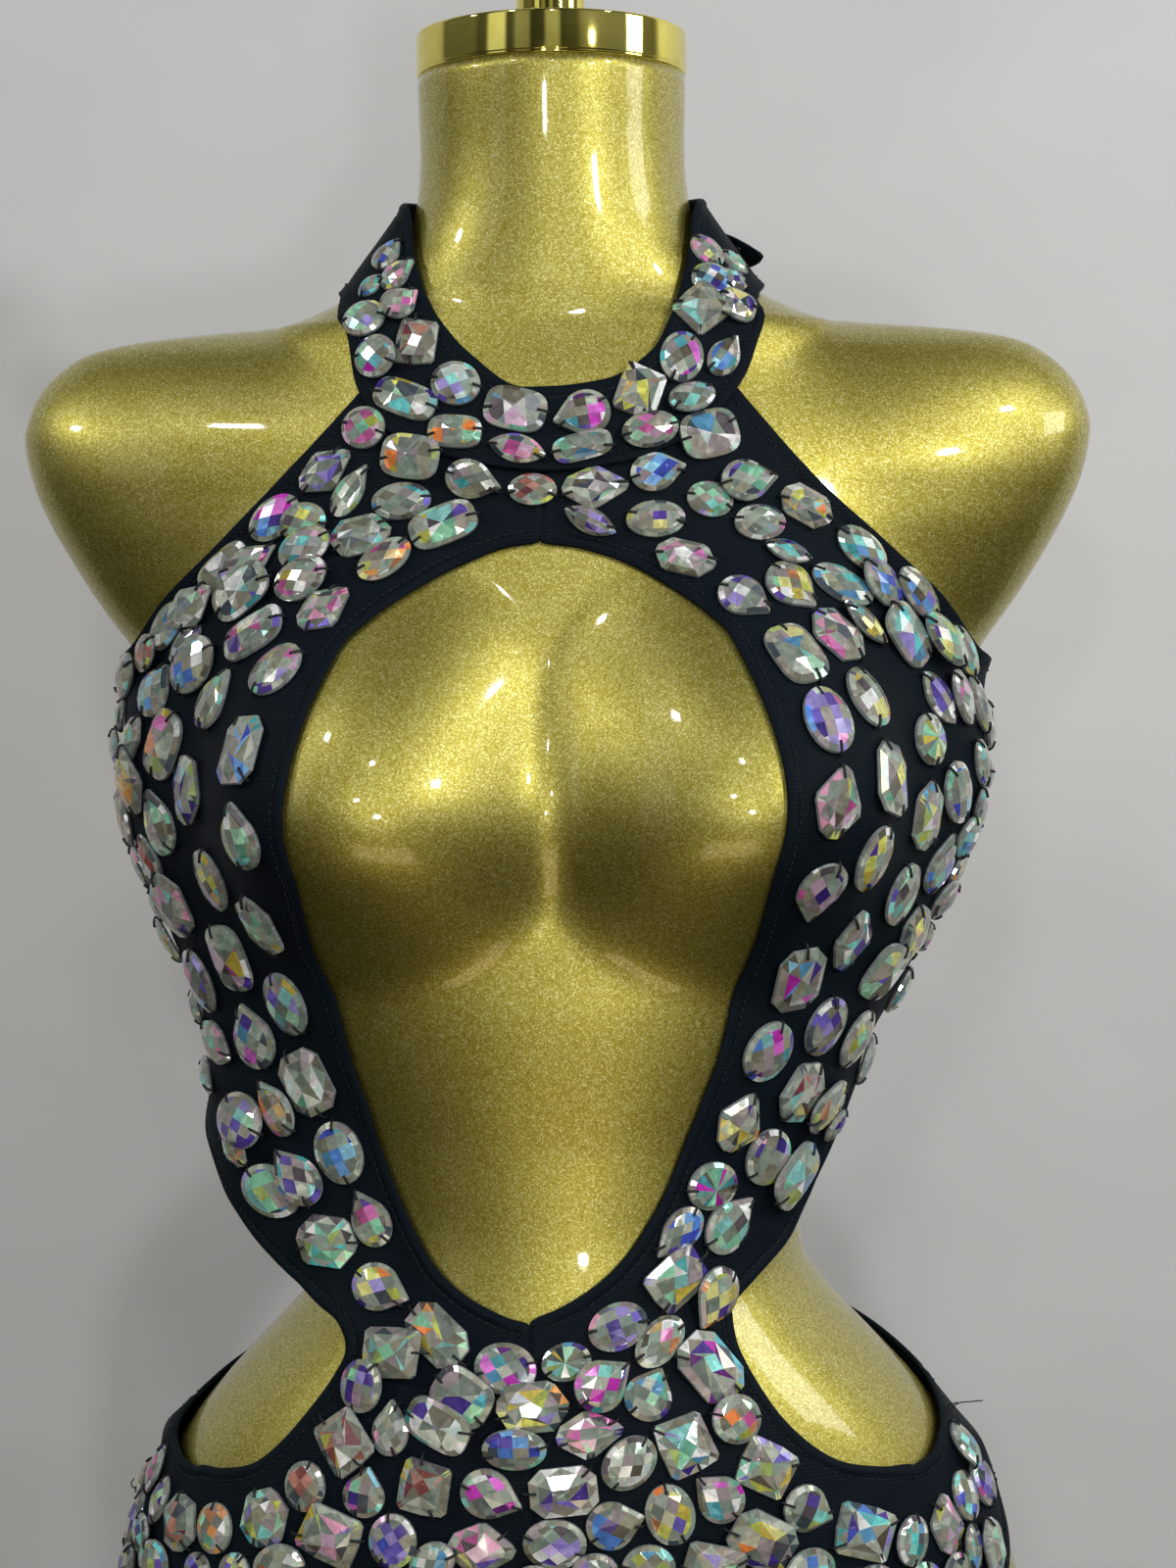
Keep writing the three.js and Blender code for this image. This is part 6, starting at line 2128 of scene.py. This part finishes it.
lamp("key", 36, 16, 2.3, 0.12, 12)
lamp("front", -4, 9, 2.2, 0.10, 3)
lamp("near", 7, -6, 2.1, 0.11, 4.5)
lamp("over_front", 3, 32, 2.2, 0.09, 2.2)
lamp("left", -68, 30, 2.4, 0.16, 8)
lamp("high_left", -34, 44, 2.2, 0.11, 3.5)
lamp("high_right", 56, 40, 2.3, 0.11, 9)
area_light("low", (0.02, -0.56, 0.05), (0, -0.10, 0.46), (0.34, 0.16), 0.32, (1.0, 0.84, 0.58))
area_light("wall_wash", (1.5, -0.35, 1.1), (0.62, 0.42, 0.55), (0.5, 0.5), 5)

# The room round the stage: brighter and darker upright strips, seen only as soft reflections.
# Turn from the camera's side (degrees, the left of the picture negative), brightness.
ROOM = [
    (-180, 0.42), (-124, 0.40), (-121, 0.06), (-118, 0.20), (-66, 0.24), (-61, 0.12), (-54, 0.14), (-51, 1.25), (-38, 1.35),
    (-35, 0.10), (-30, 0.14), (-27, 0.48), (-17, 0.42), (-14, 0.06), (-4, 0.09), (-1, 0.62), (8, 0.70), (11, 0.10), (24, 0.16),
    (29, 0.44), (70, 0.36), (115, 0.22), (118, 0.08), (127, 0.10), (130, 0.42), (180, 0.42),
]
world = bpy.data.worlds.new("world")
scene.world = world
world.use_nodes = True
wn = world.node_tree
bg = wn.nodes["Background"]
tc = wn.nodes.new("ShaderNodeTexCoord")
sx = wn.nodes.new("ShaderNodeSeparateXYZ")
wn.links.new(tc.outputs["Generated"], sx.inputs[0])


def world_math(op, a, b=None):
    n = wn.nodes.new("ShaderNodeMath")
    n.operation = op
    for i, v in enumerate((a, b)):
        if v is None:
            continue
        if isinstance(v, (int, float)):
            n.inputs[i].default_value = v
        else:
            wn.links.new(v, n.inputs[i])
    return n.outputs[0]


def world_ramp(fac, stops):
    n = wn.nodes.new("ShaderNodeValToRGB")
    while len(n.color_ramp.elements) > 1:
        n.color_ramp.elements.remove(n.color_ramp.elements[-1])
    n.color_ramp.elements[0].position = stops[0][0]
    n.color_ramp.elements[0].color = (*stops[0][1], 1)
    for pos, rgb in stops[1:]:
        n.color_ramp.elements.new(pos).color = (*rgb, 1)
    wn.links.new(fac, n.inputs[0])
    return n.outputs[0]


turn = world_math("ARCTAN2", sx.outputs["X"], world_math("MULTIPLY", sx.outputs["Y"], -1.0))
strips = world_ramp(
    world_math("ADD", world_math("MULTIPLY", turn, 0.5 / math.pi), 0.5),
    [((d + 180) / 360, (v, v, v * 0.96)) for d, v in ROOM],
)
height = world_math("ADD", world_math("MULTIPLY", sx.outputs["Z"], 0.5), 0.5)
level = world_ramp(
    height,
    [
        (0.0, (0.10, 0.08, 0.06)), (0.40, (0.24, 0.20, 0.15)), (0.49, (0.70, 0.69, 0.66)), (0.57, (1.15, 1.15, 1.12)),
        (0.64, (1.45, 1.45, 1.40)), (0.75, (0.95, 0.95, 0.95)), (1.0, (0.62, 0.62, 0.64)),
    ],
)
room = wn.nodes.new("ShaderNodeMix")
room.data_type = "RGBA"
room.blend_type = "MULTIPLY"
room.inputs["Factor"].default_value = 1.0
wn.links.new(strips, room.inputs["A"])
wn.links.new(level, room.inputs["B"])
away = world_ramp(height, [(0.0, (0.16, 0.16, 0.16)), (1.0, (0.30, 0.30, 0.31))])
seen = wn.nodes.new("ShaderNodeLightPath")
pick = wn.nodes.new("ShaderNodeMix")
pick.data_type = "RGBA"
wn.links.new(seen.outputs["Is Camera Ray"], pick.inputs["Factor"])
wn.links.new(room.outputs["Result"], pick.inputs["A"])
wn.links.new(away, pick.inputs["B"])
wn.links.new(pick.outputs["Result"], bg.inputs["Color"])
bg.inputs["Strength"].default_value = 0.42
scene.view_settings.view_transform = "Standard"
